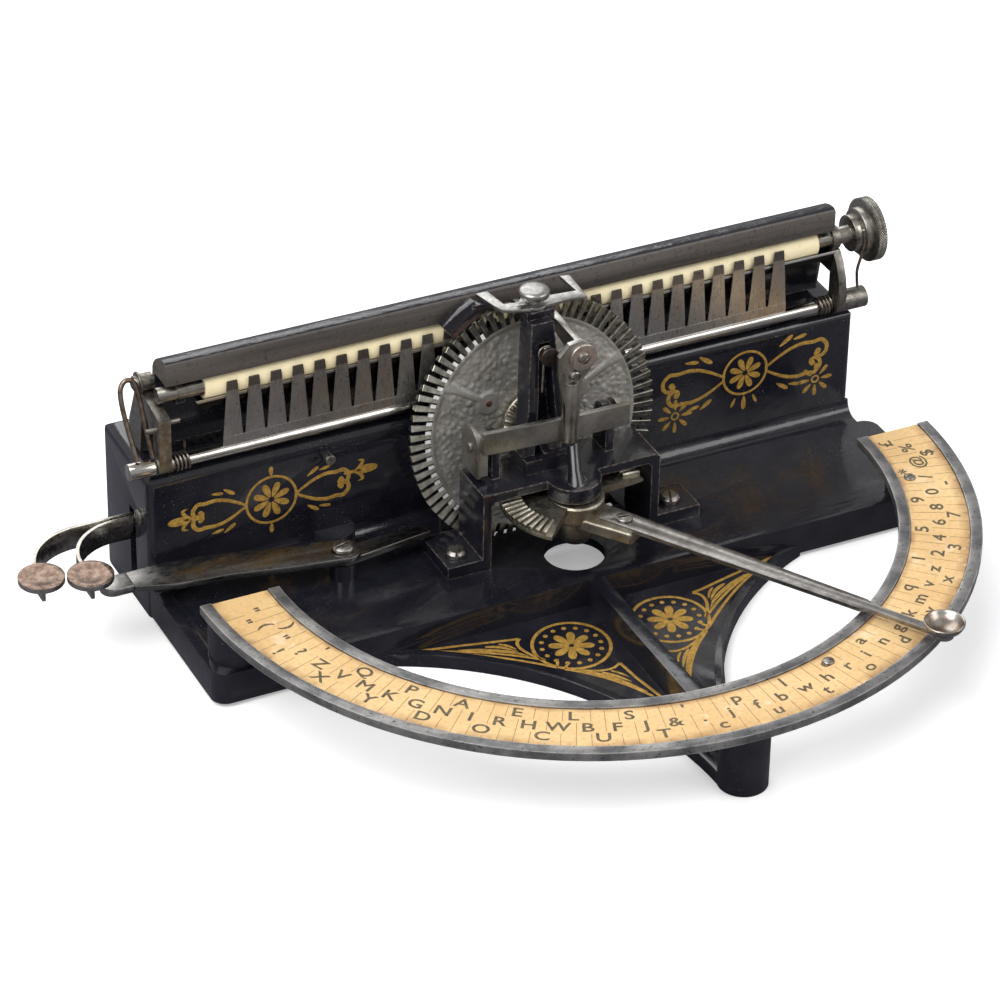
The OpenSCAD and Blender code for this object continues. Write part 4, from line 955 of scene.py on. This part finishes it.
# ---- Paper comb ----
# One strip of springy sheet steel, cut into 27 tapering fingers whose tips bend back to the roller, soldered
# to a nickelled rod.
comb_steel, tree, surface = shader("comb_steel", (0.36, 0.34, 0.31), metallic=1.0, roughness=0.3)
colour = mix(tree, between(tree, grain(tree, 30, 5), 0.36, 0.66), (0.60, 0.585, 0.56), (0.40, 0.375, 0.345))
colour = speckled(tree, colour, 1100, 0.6, 0.7, 0.6, (0.10, 0.075, 0.06))
# The bent tips above 80 mm over the table are darkened: painted shade where they meet the roller.
colour = mix(tree, times(tree, rise(tree, 0.0797, 0.0803), 0.7), colour, (0.10, 0.09, 0.08))
set_socket(tree, surface, "Base Color", colour)
set_socket(tree, surface, "Roughness", between(tree, grain(tree, 900, 4, (4, 1, 0.15)), 0.3, 0.7, 0.22, 0.42))
relief(tree, surface, grain(tree, 1500, 3, (4, 1, 0.15)), 0.00002)
COMB_TEETH, COMB_STEP, COMB_LEFT = 27, 7.46, -106
strip = COMB_STEP * (COMB_TEETH - 1) + 6.8
bm = bmesh.new()
bmesh.ops.create_cube(bm, size=1)
bmesh.ops.scale(bm, vec=(strip, 0.7, 3.4), verts=bm.verts)
bmesh.ops.translate(bm, verts=bm.verts, vec=(COMB_LEFT + strip / 2, 36.85, 61.5))
parts = [bm]
for k in range(COMB_TEETH):
    middle = COMB_LEFT + 3.35 + COMB_STEP * k
    tooth = bmesh.new()
    bmesh.ops.create_grid(tooth, x_segments=1, y_segments=12, size=0.5)
    extruded(tooth, (0, 0, 1))
    for vert in tooth.verts:
        t = vert.co.y + 0.5
        half = 3.35 - 1.6 * t
        bend = max(0.0, t - 0.82) / 0.18
        vert.co = (middle + (half if vert.co.x > 0 else -half), 36.55 + 0.5 * vert.co.z + 0.2 * bend ** 1.5,
                   63.1 + 20.1 * t)
    parts.append(tooth)
finish_piece("comb_plate", join(*parts), comb_steel, "comb", ["paper_comb"], 40, 0.08, 1)
rod_nickel = steel("rod_nickel", (0.6, 0.58, 0.54), (0.4, 0.37, 0.33), 0.18, 0.2, (0.15, 1, 1))
soften("comb_rod", rod_nickel, "comb", 0.35, 2)


# ---- Keys ----
# Two flat nickelled strips out of the left end, bent forward, each with a dished round pad under the finger.
key_nickel = steel("key_nickel", (0.5, 0.48, 0.44), (0.3, 0.27, 0.23), 0.24, 0.25, scale=200)
worn_dish = steel("worn_dish", (0.26, 0.19, 0.15), (0.10, 0.06, 0.045), 0.3, 0.5)
DISH_RADIUS = 6.7
for name, x, y in (("print_key", -171, 29), ("space_key", -156.6, 24)):
    bm = from_part(name)
    for face in bm.faces:
        middle = face.calc_center_median()
        if face.normal.z > 0.3 and middle.z > 31 and math.hypot(middle.x - x, middle.y - y) < DISH_RADIUS:
            face.material_index = 1
    finish_piece(name + "_body", bm, [key_nickel, worn_dish], name + "_body", [name],
                 bevel=0.3)


# ---- Release lever ----
# A long flat lever on a shoulder screw, dull with handling, its bright tip screwed on at the left.
lever_nickel = steel("lever_nickel", (0.27, 0.26, 0.25), (0.15, 0.14, 0.13), 0.3, 0.15, (0.4, 1, 1), 160)
soften("release_lever", lever_nickel, "release", 0.4, 2)
soften("lever_tip", bright, "release", 0.5, 3)
